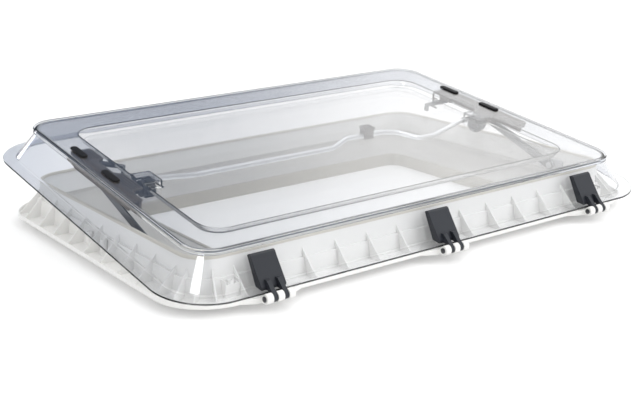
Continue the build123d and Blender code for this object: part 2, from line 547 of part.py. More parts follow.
def bow_clip():
    """A clip under the inner pane, open below, that holds the bow's raised stretch."""
    y, z, gap, jaw = CLIP_Y, CLIP_Z, CLIP_GAP, CLIP_JAW
    outline = [(y - 12, TRAY_Z), (y - 12, TRAY_Z - 4), (y - gap - jaw, TRAY_Z - 7),
               (y - gap - jaw, z - 1), (y - gap - 5, z - 6), (y - gap - 2.6, z - 6.5),
               (y - gap, z - 1), (y - gap, z + gap), (y + gap, z + gap), (y + gap, z - 5.5),
               (y + gap + jaw, z - 9), (y + gap + 4, z - 5), (y + gap + 4, TRAY_Z - 5),
               (y + 13, TRAY_Z - 3), (y + 13, TRAY_Z)]
    return prism_x(outline, CLIP_X - CLIP_W / 2, CLIP_X + CLIP_W / 2)


# Release levers

def release_lever(x, angle):
    """A finger lever with a turned-down end, swung about an upright screw."""
    hub, tip = LEVER_HUB_R - 0.5, LEVER_W / 2
    outline = Polyline((0, -hub), (LEVER_LENGTH * 0.6, -tip), (LEVER_LENGTH, -tip),
                       (LEVER_LENGTH, tip), (LEVER_LENGTH * 0.6, tip), (0, hub), close=True)
    bar = Pos(0, 0, -LEVER_T / 2) * extrude(make_face(outline), LEVER_T, dir=(0, 0, 1))
    bar = fillet(bar.edges().filter_by(Axis.Z).group_by(Axis.X)[-1], 4)
    bar += Cylinder(LEVER_HUB_R, LEVER_T)
    bar += Pos(LEVER_LENGTH - 4, 0, (LEVER_T - LEVER_DROP) / 2) * Box(5, LEVER_W, LEVER_DROP)
    bar -= Cylinder(LEVER_BORE_R, 2 * LEVER_T)
    return Pos(x, LEVER_Y, LEVER_Z) * (Rot(0, 0, angle) * bar)


def lever_screw(x):
    low = LEVER_Z - LEVER_T / 2 - 0.3
    return rod_z(x, LEVER_Y, LEVER_SCREW_R, low, UNDER) + rod_z(x, LEVER_Y, 5.0, low - 2.4, low)


# Every piece, by its node's name

def nodes():
    made = {
        "base_frame": base_frame(),
        "collar_seal": collar_seal(),
        "inner_liner": inner_liner(),
        "liner_lip": liner_lip(),
        "outer_pane": ajar(outer_pane()),
        "inner_pane": ajar(inner_pane()),
        "pane_edge_seal": ajar(pane_edge_seal()),
        "hinge_screws": [ajar(screw) for screw in hinge_screws()],
        "operating_bow": ajar(operating_bow()),
        "bow_clip": ajar(bow_clip()),
    }
    for name, x in (("left", -HINGE_X), ("middle", 0.0), ("right", HINGE_X)):
        made[f"{name}_hinge_pin"] = hinge_pin(x)
        made[f"{name}_hinge_block"] = ajar(hinge_block(x))
    for name, part in (("side_bracket", side_bracket()), ("knob_bolt", knob_bolt()),
                       ("star_knob", star_knob())):
        made[f"left_{name}"] = ajar(part)
        made[f"right_{name}"] = ajar(right_of(part))
    for name, part in (("support_arm", support_arm()), ("arm_roller", arm_roller()),
                       ("arm_pivot", arm_pivot())):
        made[f"left_{name}"] = part
        made[f"right_{name}"] = right_of(part)
    for name, side in (("left", -1), ("right", 1)):
        made[f"{name}_oval_caps"] = [ajar(cap) for cap in oval_caps(side)]
        made[f"{name}_bracket_screws"] = [ajar(screw) for screw in bracket_screws(side)]
        made[f"{name}_lever_screw"] = ajar(lever_screw(side * LEVER_X))
        made[f"{name}_bow_end"] = ajar(bow_end(side))
    made["left_release_lever"] = ajar(release_lever(-LEVER_X, LEVER_ANGLE_LEFT))
    made["right_release_lever"] = ajar(release_lever(LEVER_X, LEVER_ANGLE_RIGHT))
    return made


def main():
    os.makedirs("parts", exist_ok=True)
    for name, part in nodes().items():
        whole = Compound(children=part) if isinstance(part, list) else part
        export_step(whole, f"parts/{name}.step")


if __name__ == "__main__":
    main()
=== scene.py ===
import json
import math

import bpy
import numpy as np
from bpy.props import FloatProperty, FloatVectorProperty, IntProperty, PointerProperty
from mathutils import Matrix, Vector


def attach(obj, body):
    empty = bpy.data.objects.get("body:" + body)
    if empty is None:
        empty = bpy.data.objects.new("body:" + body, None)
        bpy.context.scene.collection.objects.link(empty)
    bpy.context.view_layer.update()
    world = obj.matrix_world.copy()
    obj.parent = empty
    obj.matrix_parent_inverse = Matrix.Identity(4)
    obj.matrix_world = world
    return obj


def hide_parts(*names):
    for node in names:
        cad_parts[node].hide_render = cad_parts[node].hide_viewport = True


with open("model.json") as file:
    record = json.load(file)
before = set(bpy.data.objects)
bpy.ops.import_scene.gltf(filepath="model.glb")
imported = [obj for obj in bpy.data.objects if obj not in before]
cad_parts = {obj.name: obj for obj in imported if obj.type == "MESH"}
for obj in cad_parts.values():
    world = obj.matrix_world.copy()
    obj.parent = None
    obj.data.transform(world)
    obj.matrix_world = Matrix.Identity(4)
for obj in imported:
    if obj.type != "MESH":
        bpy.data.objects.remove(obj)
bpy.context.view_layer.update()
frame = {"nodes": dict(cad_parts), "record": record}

bl_info = {
    "name": "Caravan Roof Window",
    "version": (1, 0, 0),
    "blender": (4, 5, 0),
    "location": "View3D > Sidebar > Roof Window",
    "description": "Clear double-dome roof window on its ribbed white frame",
    "category": "Object",
}

# Lengths are in millimetres until a mesh is made: x along the hinges, z up from the roof.
MM = 0.001
CORNER_STEPS = 16
SIDES = [(x, y) for x in (-1, 1) for y in (-1, 1)]

# Frame: the length, width and corner radius of its sections, then heights and thicknesses
FLANGE, COLLAR, SKIRT = (1065.0, 760.0, 100.0), (971.0, 662.0, 52.0), (954.0, 649.0, 48.0)
STEP, STEP_FOOT = (986.0, 677.0, 58.0), (996.0, 687.0, 62.0)
CHANNEL_IN, CHANNEL_OUT, CHANNEL_H = (966.6, 657.6, 48.0), (979.0, 670.0, 54.5), 30.0
COLLAR_H, SKIRT_DEPTH, WALL = 66.0, 16.0, 5.0
RIM_H, RIM_T, PLATE_T, STEP_Z = 9.0, 3.0, 3.0, 35.0
RIB_T, RIB_H = 2.6, 50.0
CORNER_SCREW, END_SCREW, TOWER_H, BORE_R = (430.0, 346.0), (501.0, 29.0), 32.0, 2.6

# Seal, liner and the lip of the light opening
BEAD_W, LINER_GAP, LIGHT = 6.5, 0.05, (690.0, 370.0, 30.0)
LIP_T, LIP_LAP, LIP_TOP, LIP_BEAD = 3.0, 4.0, 9.0, 2.2

# Hinges: the line that the dome turns about, the frame's knuckles, then the dome's blocks
HINGE_Y, HINGE_Z, HINGE_X, AJAR = -405.1, 9.8, 375.7, math.radians(8.3)
KNUCKLE_R, KNUCKLE_W, KNUCKLE_PITCH, PIN_R = 9.0, 12.0, 21.0, 3.0
EYE_R, EYE_W, BLOCK_HALF, BLOCK_TOP, BLOCK_FRONT = 8.0, 8.4, 24.0, 60.0, -389.5

# Dome, drawn closed: its flange, the foot and head of its wall, then the tray and its bays
DOME, FOOT, HEAD = (1101.2, 791.4, 99.0), (1052.0, 742.0, 76.0), (979.0, 671.0, 50.0)
DOME_Z, FOOT_Z, LEDGE_Z, DOME_TOP = 12.3, 15.8, 69.5, 78.5
PANE_T, INNER_T, LEDGE_OUT, PANE_Z, RIM_Z = 3.5, 3.0, 4.5, 75.0, 72.0
TRAY, TRAY_Z, TRAY_IN = (858.0, 536.0, 46.0), 58.0, 7.0
BAY_X, BAY_Y0, BAY_Y1, BAY_CORNER, BAY_STEPS = 391.0, -38.0, 8.0, 4.0, 8

# Brackets: plate, web, rail and rack. What hangs from the plate, at UNDER, starts inside it.
BRACKET_X, BRACKET_IN, BRACKET_Y0, BRACKET_Y1, UNDER = 476.0, 434.0, -100.0, 165.0, 67.0
PLATE_Y0, WEB_X, RAIL_Z, RACK_X, INSIDE = -54.0, 14.0 - BRACKET_X, 50.6, -434.5, UNDER + 0.5
CAP_X, CAP_Y, CAP_L, CAP_W, CAP_H = 466.0, (12.0, 145.0), 58.0, 15.0, 3.0
KNOB_Y, KNOB_Z, KNOB_R, KNOB_OUT, KNOB_IN = -15.0, 52.0, 19.0, 422.0, 396.0
LEVER_X, LEVER_Y, LEVER_Z, LEVER_L, LEVER_HUB = 441.0, 131.0, 54.5, 62.0, 9.5

# Arms: the left one's outer and inner face, its pivot, length and angle above the flange
ARM_OUT, ARM_IN, ARM_Y, ARM_Z, ARM_LENGTH, ARM_ANGLE = -471.0, -468.0, -187.7, 36.0, 286.5, 19.56
ROLLER_W = 4.0

# Bow: the tube's bends and their radii, then its clip
BOW_R = 5.4
BOW_ROUTE = (
    (-425.0, 22.0, 50.0), (-376.0, 22.0, 50.0), (-268.0, 57.0, 24.4), (67.0, 57.0, 24.4),
    (104.0, 59.0, 40.0), (200.0, 59.5, 39.0), (240.0, 58.0, 33.0), (268.0, 15.0, 29.5),
    (308.0, 12.0, 31.0), (385.0, 14.0, 51.0), (425.0, 14.0, 51.0),
)
BOW_RADII = (24.0, 24.0, 24.0, 24.0, 24.0, 20.0, 18.0, 24.0, 24.0)
CLIP_X, CLIP_Y, CLIP_Z, CLIP_W, CLIP_GAP = 158.0, 59.3, 39.4, 24.0, 5.6

# The stage: directions in the studio, the background's brightness and the camera's target in metres
PALE_SIDE, CARD = (0.90, -0.43, 0.0), (0.581, 0.814, 0.0)
FRONT_PATCH, REAR_PATCH = (-0.585, -0.485, 0.648), (-0.20, 0.955, 0.19)
BACKGROUND, TARGET, FLOOR_R = 1.1, (0.0092, 0.0179, 0.0), 40000.0


# Shapes: a shell is a pair, its points and its faces

def about_corners(corners, radii, steps):
    """An anticlockwise outline with right-angled corners made round.

    Each corner becomes a quarter circle: its centre lies one radius in along both sides, and the
    angle runs from 0 to 90 degrees in equal steps.
    """
    corner = np.asarray(corners, float)
    before = np.roll(corner, 1, 0) - corner
    after = np.roll(corner, -1, 0) - corner
    before /= np.linalg.norm(before, axis=1)[:, None]
    after /= np.linalg.norm(after, axis=1)[:, None]
    radius = np.broadcast_to(np.asarray(radii, float), len(corner))[:, None]
    angle = np.linspace(0, math.pi / 2, steps + 1)[None, :, None]
    centre = (corner + radius * (before + after))[:, None]
    turned = after[:, None] * np.cos(angle) + before[:, None] * np.sin(angle)
    return (centre - radius[:, None] * turned).reshape(-1, 2)


def rounded_rectangle(length, width, radius, steps=CORNER_STEPS):
    """The outline of a rectangle about the origin with each corner a quarter circle."""
    a, b = length / 2, width / 2
    return about_corners([(a, -b), (a, b), (-a, b), (-a, -b)], radius, steps)


def inset(outline, distance):
    """The outline moved inwards: each point goes along the sum of its two sides' normals,
    divided by one plus their dot product, which keeps both sides at the same distance."""
    ahead = np.roll(outline, -1, 0) - outline
    ahead /= np.linalg.norm(ahead, axis=1)[:, None]
    normal = np.stack([-ahead[:, 1], ahead[:, 0]], 1)
    last = np.roll(normal, 1, 0)
    lean = 1 + np.sum(normal * last, 1)[:, None]
    return outline + distance * (normal + last) / np.maximum(lean, 0.4)


def level(outline, z):
    """A flat outline's points at one height."""
    return np.column_stack([outline, np.full(len(outline), z)])


def grown(row, out, z):
    """A section's row, its length, width and corner radius, moved outwards and set at a height."""
    return row[0] + 2 * out, row[1] + 2 * out, row[2] + out, z


def quarter(steps):
    """The sine and one minus the cosine of angles from 0 to 90 degrees in equal steps."""
    angle = np.linspace(0, math.pi / 2, steps + 1)
    return list(zip(np.sin(angle), 1 - np.cos(angle)))


def bend(start, end, sideways_first, steps):
    """Rows from one section to another along a quarter ellipse: the lengths follow the sine of an
    angle and the height one minus its cosine, or the other way round."""
    rows = []
    for sine, drop in quarter(steps):
        a, b = (sine, drop) if sideways_first else (drop, sine)
        rows.append((*[start[k] + (end[k] - start[k]) * a for k in range(3)],
                     start[3] + (end[3] - start[3]) * b))
    return rows


def smooth(values, low, high):
    """The smooth step of an array from 0 at low to 1 at high."""
    share = np.clip((values - low) / (high - low), 0, 1)
    return share ** 2 * (3 - 2 * share)


def arc(angles):
    """Points on a circle of radius 1, at the given angles."""
    return np.stack([np.cos(angles), np.sin(angles)], 1)


def unit_circle(steps):
    """Points round a circle of radius 1, at equal steps of the angle."""
    return arc(np.linspace(0, 2 * math.pi, steps, endpoint=False))


def rings(loops, joined=False):
    """A surface through loops with equal numbers of points.

    Point j of loop i is joined to points j and j + 1 of loop i + 1. With joined the last loop is
    joined to the first, and otherwise the first and last loops are closed by flat faces.
    """
    loops = np.asarray(loops, float)
    rows, count = loops.shape[:2]
    i = np.arange(rows if joined else rows - 1)[:, None]
    j = np.arange(count)[None, :]
    up, on = (i + 1) % rows, (j + 1) % count
    quads = np.stack([i * count + j, i * count + on, up * count + on, up * count + j], -1)
    faces = quads.reshape(-1, 4).tolist()
    if not joined:
        faces.append(list(range(count))[::-1])
        faces.append(list(range((rows - 1) * count, rows * count)))
    return loops.reshape(-1, 3), faces


def sections(rows, joined=False):
    """A surface through rounded rectangles, each (length, width, corner radius, height)."""
    return rings([level(rounded_rectangle(a, b, r), z) for a, b, r, z in rows], joined)


def slab(outline, low, high, bevel, steps=3):
    """An outline given thickness along its own third axis, with rounded edges.

    At each edge the outline is inset by the bevel times one minus the sine of an angle and lifted
    by the bevel times one minus its cosine, for angles from 0 to 90 degrees.
    """
    outline = np.asarray(outline, float)
    edge = [(inset(outline, bevel * (1 - sine)), bevel * drop) for sine, drop in quarter(steps)]
    below = [level(drawn, low + lift) for drawn, lift in edge]
    above = [level(drawn, high - lift) for drawn, lift in edge[::-1]]
    return rings(below + above)


def placed(shell, origin=(0, 0, 0), across=(1, 0, 0), along=(0, 1, 0)):
    """A shell moved to an origin, its x and y axes laid along two unit vectors at right angles."""
    return shell[0] @ np.array([across, along, np.cross(across, along)]) + origin, shell[1]


def on_x(shell, x=0.0, y=0.0, z=0.0):
    """A shell drawn in (y, z) with its thickness along X."""
    return placed(shell, (x, y, z), (0, 1, 0), (0, 0, 1))


def turned(profile, steps=32):
    """A profile of (radius, height) pairs turned about the third axis."""
    return rings([level(unit_circle(steps) * r, h) for r, h in profile])


def tube(path, radius, steps):
    """A round tube along a path: each ring lies across the path's own direction."""
    ahead = np.gradient(path, axis=0)
    ahead /= np.linalg.norm(ahead, axis=1)[:, None]
    side = np.cross(ahead, (0.0, 0.0, 1.0))
    side /= np.linalg.norm(side, axis=1)[:, None]
    over = np.cross(side, ahead)
    share = unit_circle(steps)[::-1]
    return rings(path[:, None] + radius * (side[:, None] * share[:, :1] + over[:, None] * share[:, 1:]))


def rounded_route(points, radii, steps):
    """A line through points with round bends: at each bend, a circle's arc that touches both runs."""
    points = [np.asarray(p, float) for p in points]
    line = [points[0]]
    for before, corner, after, radius in zip(points, points[1:], points[2:], radii):
        back = (before - corner) / np.linalg.norm(before - corner)
        on = (after - corner) / np.linalg.norm(after - corner)
        half = math.acos(np.clip(np.dot(back, on), -1, 1)) / 2
        centre = corner + (back + on) / np.linalg.norm(back + on) * radius / math.sin(half)
        start = corner + back * radius / math.tan(half) - centre
        end = corner + on * radius / math.tan(half) - centre
        sweep = math.pi - 2 * half
        t = np.linspace(0, 1, steps + 1)[:, None]
        arc = (start * np.sin((1 - t) * sweep) + end * np.sin(t * sweep)) / math.sin(sweep)
        line.extend(centre + arc)
    line.append(points[-1])
    return np.array(line)


def rounded_outline(points, radii):
    """A closed outline in its own plane with each corner rounded by an arc of the given radius."""
    points = [np.array([*p, 0.0]) for p in points]
    radii = np.broadcast_to(np.asarray(radii, float), len(points))
    seam = (points[0] + points[-1]) / 2
    return rounded_route([seam, *points, seam], radii, 5)[:-1, :2]


def bar_outline(start, end, start_r, end_r, steps=14):
    """The outline of a bar with round ends, tapering between two circles."""
    start, end = np.asarray(start, float), np.asarray(end, float)
    way = math.atan2(*(end - start)[::-1])
    lean = math.acos((start_r - end_r) / np.linalg.norm(end - start))
    near = np.linspace(way + lean, way + 2 * math.pi - lean, steps)
    far = np.linspace(way - lean, way + lean, steps)
    return np.vstack([start + start_r * arc(near), end + end_r * arc(far)])


def brick(x0, x1, y0, y1, z0, z1, bevel=0.5, radius=1.0):
    """A block with rounded upright corners and bevelled edges."""
    outline = rounded_rectangle(x1 - x0, y1 - y0, radius, 4)
    return placed(slab(outline, z0, z1, bevel, 2), ((x0 + x1) / 2, (y0 + y1) / 2, 0))


def plate_x(outline, x0, x1, bevel=0.5):
    """A (y, z) outline given thickness along X."""
    return on_x(slab(outline, *sorted((x0, x1)), bevel, 2))


def turned_x(profile, y, z, steps=32):
    """A (radius, x) profile turned about a line along X."""
    return on_x(turned(profile, steps), y=y, z=z)


def moved(shell, x, y=0.0, z=0.0):
    """A shell moved without turning it."""
    return shell[0] + (x, y, z), shell[1]


def ajar(shell):
    """A shell of the closed dome, turned about the hinge line by the angle it stands ajar."""
    points = shell[0].copy()
    y, z = points[:, 1] - HINGE_Y, points[:, 2] - HINGE_Z
    points[:, 1] = HINGE_Y + y * math.cos(AJAR) - z * math.sin(AJAR)
    points[:, 2] = HINGE_Z + y * math.sin(AJAR) + z * math.cos(AJAR)
    return points, shell[1]


def mirrored(shell):
    """A shell's twin on the other side of x = 0, its faces turned round to point outwards."""
    return shell[0] * (-1.0, 1.0, 1.0), [face[::-1] for face in shell[1]]


def piece(name, shells, body, slot, node, sharp=35.0, zone=None):
    """One object at the origin from shells in millimetres, riding on its body in the node's place.

    The zone, a number from 0 to 1 for each point, is kept for the material to read.
    """
    points, faces, start = [], [], 0
    for shell_points, shell_faces in shells:
        points.append(shell_points)
        faces.extend([[start + k for k in face] for face in shell_faces])
        start += len(shell_points)
    mesh = bpy.data.meshes.new(name)
    mesh.from_pydata((np.concatenate(points) * MM).tolist(), [], faces)
    mesh.polygons.foreach_set("use_smooth", np.ones(len(faces), bool))
    mesh.set_sharp_from_angle(angle=math.radians(sharp))
    if zone is not None:
        mesh.attributes.new("zone", "FLOAT", "POINT").data.foreach_set("value", zone)
    mesh.update()
    mesh.materials.append(finish_of(slot))
    made = bpy.data.objects.new(name, mesh)
    bpy.context.scene.collection.objects.link(made)
    weighted = made.modifiers.new("weighted_normals", "WEIGHTED_NORMAL")
    weighted.keep_sharp = True
    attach(made, body)
    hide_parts(node)


# Materials

def feed(tree, node, **values):
    """Set or link a node's inputs, named with underscores for spaces, or by number after one."""
    for key, value in values.items():
        spot = node.inputs[int(key[1:]) if key[0] == "_" else key.replace("_", " ")]
        if isinstance(value, bpy.types.NodeSocket):
            tree.links.new(value, spot)
        else:
            spot.default_value = value


def add_node(tree, kind, setting=None, **values):
    """A node, its operation or data type if it has one, and its inputs set or linked."""
    made = tree.nodes.new(kind)
    if setting:
        setattr(made, "operation" if hasattr(made, "operation") else "data_type", setting)
    feed(tree, made, **values)
    return made


def mixed(tree, share, first, second):
    """The colour a share of the way from one to another."""
    return add_node(tree, "ShaderNodeMix", "RGBA", _0=share, _6=first, _7=second).outputs[2]


def noise(tree, place, scale, detail, roughness=0.5):
    """The value of a noise at a place."""
    return add_node(tree, "ShaderNodeTexNoise", Vector=place, Scale=scale, Detail=detail,
                    Roughness=roughness).outputs[0]


def surface_group(name, fineness, layers):
    """A shader group: the colour between pale and deep, the gloss and the height each follow one
    of three noises that layers gives from the object's own coordinates and the grain."""
    group = bpy.data.node_groups.get(name)
    if group:
        return group
    group = bpy.data.node_groups.new(name, "ShaderNodeTree")
    for label, kind in (("Pale", "Color"), ("Deep", "Color"), ("Gloss", "Float"),
                        ("Unevenness", "Float"), (fineness, "Float")):
        group.interface.new_socket(label, in_out="INPUT", socket_type=f"NodeSocket{kind}")
    for label, kind in (("Color", "Color"), ("Roughness", "Float"), ("Height", "Float")):
        group.interface.new_socket(label, in_out="OUTPUT", socket_type=f"NodeSocket{kind}")
    start, end = group.nodes.new("NodeGroupInput"), group.nodes.new("NodeGroupOutput")
    place = group.nodes.new("ShaderNodeTexCoord").outputs["Object"]
    shade, sheen, height = layers(group, place, start.outputs[fineness])
    swing = add_node(group, "ShaderNodeMath", "SUBTRACT", _0=sheen, _1=0.5)
    gloss = add_node(group, "ShaderNodeMath", "MULTIPLY_ADD", _0=swing.outputs[0],
                     _1=start.outputs["Unevenness"], _2=start.outputs["Gloss"])
    colour = mixed(group, shade, start.outputs["Deep"], start.outputs["Pale"])
    for value, label in ((colour, "Color"), (gloss.outputs[0], "Roughness"), (height, "Height")):
        group.links.new(value, end.inputs[label])
    return group


def moulded_layers(group, place, grain_size):
    """Moulded plastic: slow mottling, uneven gloss and a fine grain of the given size in mm."""
    grain = add_node(group, "ShaderNodeMath", "DIVIDE", _0=1 / MM, _1=grain_size)
    return (noise(group, place, 9.0, 3.0), noise(group, place, 70.0, 4.0),
            noise(group, place, grain.outputs[0], 2.0, 0.6))


def drawn_layers(group, place, closeness):
    """Drawn or turned metal: slow patches, and noise stretched along X for the tool's fine lines."""
    stretch = add_node(group, "ShaderNodeMapping", Vector=place, Scale=(12.0, 900.0, 900.0))
    lines = noise(group, stretch.outputs[0], closeness, 3.0)
    return noise(group, place, 25.0, 3.0), lines, lines


def blank_material(name):
    """A new material, its tree and its Principled shader."""
    made = bpy.data.materials.new(f"{name}_finish")
    made.use_nodes = True
    return made, made.node_tree, made.node_tree.nodes["Principled BSDF"]


def surfaced(name, group, values, bump, metallic, coat=0.0, specular=0.5):
    """A material with one Principled shader fed by a surface group."""
    made, tree, shader = blank_material(name)
    surface = tree.nodes.new("ShaderNodeGroup")
    surface.node_tree = group
    feed(tree, surface, **values)
    relief = add_node(tree, "ShaderNodeBump", Strength=bump, Distance=0.0002,
                      Height=surface.outputs["Height"])
    feed(tree, shader, Base_Color=surface.outputs["Color"], Roughness=surface.outputs["Roughness"],
         Normal=relief.outputs[0], Metallic=metallic, Coat_Weight=coat, Specular_IOR_Level=specular)
    return made


def plastic(name, pale, deep, gloss, grain, bump, coat=0.0, specular=0.5):
    """A moulded plastic finish, its grain's size in millimetres."""
    return surfaced(name, surface_group("moulded_plastic", "Grain Size", moulded_layers), {
        "Pale": (*pale, 1), "Deep": (*deep, 1), "Gloss": gloss, "Unevenness": 0.12,
        "Grain_Size": grain}, bump, 0.0, coat, specular)


def metal(name, pale, deep, gloss):
    """A drawn or turned metal finish."""
    return surfaced(name, surface_group("drawn_metal", "Line Scale", drawn_layers), {
        "Pale": (*pale, 1), "Deep": (*deep, 1), "Gloss": gloss, "Unevenness": 0.15,
        "Line_Scale": 1.0}, 0.1, 1.0)


# Each slot's finish: its kind, pale and deep colours, roughness, then grain and relief for plastic
FINISHES = {
    "white_moulding": (plastic, (0.82, 0.815, 0.80), (0.77, 0.765, 0.75), 0.36, 0.6, 0.08),
    "liner_plastic": (plastic, (0.56, 0.545, 0.52), (0.50, 0.49, 0.465), 0.5, 0.9, 0.25),
    "lip_trim": (plastic, (0.46, 0.435, 0.38), (0.40, 0.38, 0.33), 0.5, 0.6, 0.15),
    "seal_rubber": (plastic, (0.66, 0.63, 0.565), (0.58, 0.555, 0.50), 0.6, 0.5, 0.2),
    "bead_rubber": (plastic, (0.22, 0.235, 0.25), (0.17, 0.18, 0.19), 0.45, 0.5, 0.1),
    "dark_plastic": (plastic, (0.130, 0.110, 0.096), (0.095, 0.080, 0.070), 0.42, 0.7, 0.3, 0.0, 0.3),
    "black_plastic": (plastic, (0.030, 0.031, 0.034), (0.020, 0.021, 0.023), 0.36, 0.6, 0.25),
    "cap_plastic": (plastic, (0.012, 0.012, 0.013), (0.008, 0.008, 0.009), 0.42, 0.6, 0.15, 0.0, 0.12),
    "slate_plastic": (plastic, (0.015, 0.018, 0.025), (0.010, 0.012, 0.017), 0.4, 0.7, 0.35),
    "roller_plastic": (plastic, (0.62, 0.61, 0.57), (0.55, 0.54, 0.50), 0.4, 0.5, 0.1),
    "arm_metal": (plastic, (0.060, 0.064, 0.072), (0.045, 0.049, 0.056), 0.38, 0.4, 0.15, 0.3),
    "satin_tube": (metal, (0.86, 0.87, 0.89), (0.78, 0.79, 0.81), 0.30),
    "stainless_pin": (metal, (0.10, 0.10, 0.105), (0.06, 0.06, 0.065), 0.32),
    "zinc_steel": (metal, (0.66, 0.67, 0.69), (0.55, 0.56, 0.59), 0.34),
}


def clear_pane(name, deep, faint, waviness):
    """Acrylic sheet: glass, faintly tinted where the piece's zone is 0 and deeply where it is 1, the
    deep colour standing in part for painted shade and reflection, with the low waves of forming.

    Lamps and scattered light pass straight through, so what is inside is lit as in life.
    """
    made, tree, shader = blank_material(name)
    place = tree.nodes.new("ShaderNodeTexCoord").outputs["Object"]
    zone = tree.nodes.new("ShaderNodeAttribute")
    zone.attribute_name = "zone"
    relief = add_node(tree, "ShaderNodeBump", Strength=waviness, Distance=0.004,
                      Height=noise(tree, place, 4.0, 1.0))
    # The deep colour, mixed in by the zone, paints shade and reflection into the glass.
    feed(tree, shader, Base_Color=mixed(tree, zone.outputs["Fac"], (*faint, 1), (*deep, 1)),
         Normal=relief.outputs[0], Roughness=0.012, IOR=1.49, Transmission_Weight=1.0)
    through = add_node(tree, "ShaderNodeBsdfTransparent", Color=(0.98, 0.983, 0.985, 1))
    path = tree.nodes.new("ShaderNodeLightPath")
    lit = add_node(tree, "ShaderNodeMath", "MAXIMUM", _0=path.outputs["Is Shadow Ray"],
                   _1=path.outputs["Is Diffuse Ray"])
    joined = add_node(tree, "ShaderNodeMixShader", _0=lit.outputs[0], _1=shader.outputs[0],
                      _2=through.outputs[0])
    feed(tree, tree.nodes["Material Output"], Surface=joined.outputs[0])
    return made


def finish_of(slot_name):
    """The material of a slot, made when it is first asked for."""
    found = bpy.data.materials.get(f"{slot_name}_finish")
    if found:
        return found
    tone = bpy.context.scene.roof_window_panes
    if slot_name == "tinted_acrylic":
        return clear_pane(slot_name, tone.tint, tone.faint, tone.waviness)
    if slot_name == "clear_acrylic":
        return clear_pane(slot_name, tone.rim, (0.985, 0.985, 0.985), 0.1)
    kind, *values = FINISHES[slot_name]
    return kind(slot_name, *values)


# Settings shown in the sidebar

class RoofWindowPanes(bpy.types.PropertyGroup):
    # The deep tint, at the rear of the left end and on the ledge's edge, is painted reflection and
    # shade.
    tint: FloatVectorProperty(name="Tint", description="Colour of the outer pane's walls and flange",
                              default=(0.69, 0.72, 0.78), size=3, min=0, max=1, subtype="COLOR")
    faint: FloatVectorProperty(name="Faint tint", description="Colour of the outer pane's top",
                               default=(0.965, 0.966, 0.972), size=3, min=0, max=1, subtype="COLOR")
    # The rim's grey, deepening towards the rear, is painted shade.
    rim: FloatVectorProperty(name="Rim", description="Colour of the inner pane's bonded rim",
                             default=(0.74, 0.76, 0.80), size=3, min=0, max=1, subtype="COLOR")
    waviness: FloatProperty(name="Waviness", description="Strength of the low waves left by forming",
                            default=0.15, min=0, max=1, subtype="FACTOR")


class RoofWindowFrame(bpy.types.PropertyGroup):
    ribs: IntProperty(name="Ribs a side", description="Ribs on each side of the middle of a long wall",
                      default=6, min=1, max=12)
    rib_pitch: FloatProperty(name="Rib pitch", description="Distance between ribs",
                             default=0.068, min=0.03, max=0.2, unit="LENGTH", subtype="DISTANCE")


class RoofWindowStage(bpy.types.PropertyGroup):
    azimuth: FloatProperty(name="Azimuth", description="Camera's direction round the window",
                           default=math.radians(-35.5), subtype="ANGLE", unit="ROTATION")
    elevation: FloatProperty(name="Elevation", description="Camera's height above the horizon",
                             default=math.radians(16.4), subtype="ANGLE", unit="ROTATION")
    roll: FloatProperty(name="Roll", description="Camera's turn about its own line of sight",
                        default=math.radians(-1.1), subtype="ANGLE", unit="ROTATION")
    distance: FloatProperty(name="Distance", description="From the camera to its target",
                            default=2.351, min=0.5, max=20, unit="LENGTH", subtype="DISTANCE")
    lens: FloatProperty(name="Lens", description="Focal length on a 36 mm wide sensor",
                        default=63.67, min=10, max=200, unit="CAMERA")
    sky: FloatProperty(name="Sky strength", description="Brightness of the light tent round the window",
                       default=0.63, min=0, max=5)


# Frame, seal and liner

def inside_at(z, gap=0.0):
    """The frame's inner face at a height: it leans outwards going up."""
    share = (z + SKIRT_DEPTH) / (COLLAR_H + SKIRT_DEPTH)
    low, high = np.array(SKIRT), np.array(COLLAR)
    length, width, radius = low + (high - low) * share - (2 * WALL, 2 * WALL, WALL)
    return length - 2 * gap, width - 2 * gap, radius - gap, z


def frame_wall():
    """The frame's section carried round: skirt, under-channel, flange with its rim, stepped collar."""
    sill = SKIRT_DEPTH - 0.5
    top = inside_at(COLLAR_H)
    return sections([
        (*SKIRT, -sill), (*SKIRT, 0.0), (*CHANNEL_IN, CHANNEL_H), (*CHANNEL_OUT, CHANNEL_H),
        grown(STEP_FOOT, -3.5, 0.0), grown(FLANGE, -0.5, 0.0), (*FLANGE, 0.6), (*FLANGE, 8.0),
        grown(FLANGE, -0.3, 8.7), grown(FLANGE, -0.8, RIM_H), grown(FLANGE, 0.8 - RIM_T, RIM_H),
        grown(FLANGE, 0.3 - RIM_T, 8.7), grown(FLANGE, -RIM_T, 8.0), grown(FLANGE, -3.2, 3.8),
        grown(FLANGE, -4.1, PLATE_T), grown(STEP_FOOT, 2.5, PLATE_T), grown(STEP_FOOT, 0.8, 3.7),
        grown(STEP_FOOT, -0.3, 5.6), grown(STEP, 0.15, STEP_Z - 1), grown(STEP, -0.3, STEP_Z),
        grown(COLLAR, 3.3, STEP_Z), grown(COLLAR, 2.5, STEP_Z + 0.6), grown(COLLAR, 2.1, STEP_Z + 2),
        grown(COLLAR, 0.1, COLLAR_H - 0.8), grown(COLLAR, -0.4, COLLAR_H), grown(top, 0.5, COLLAR_H),
        grown(top, 0.0, COLLAR_H - 0.8), inside_at(-sill), grown(SKIRT, -4.55, -SKIRT_DEPTH),
        grown(SKIRT, -0.5, -SKIRT_DEPTH),
    ], joined=True)


def rib(start, end):
    """One triangular rib: its outline runs out along x and up along y."""
    foot = PLATE_T - 0.5
    outline = [(start, foot), (end, foot), (end, 7.0), (start + 41, 9.5), (start + 3.4, RIB_H - 1),
               (start + 2.4, RIB_H), (start, RIB_H)]
    return slab(outline, -RIB_T / 2, RIB_T / 2, 0.35, 2)


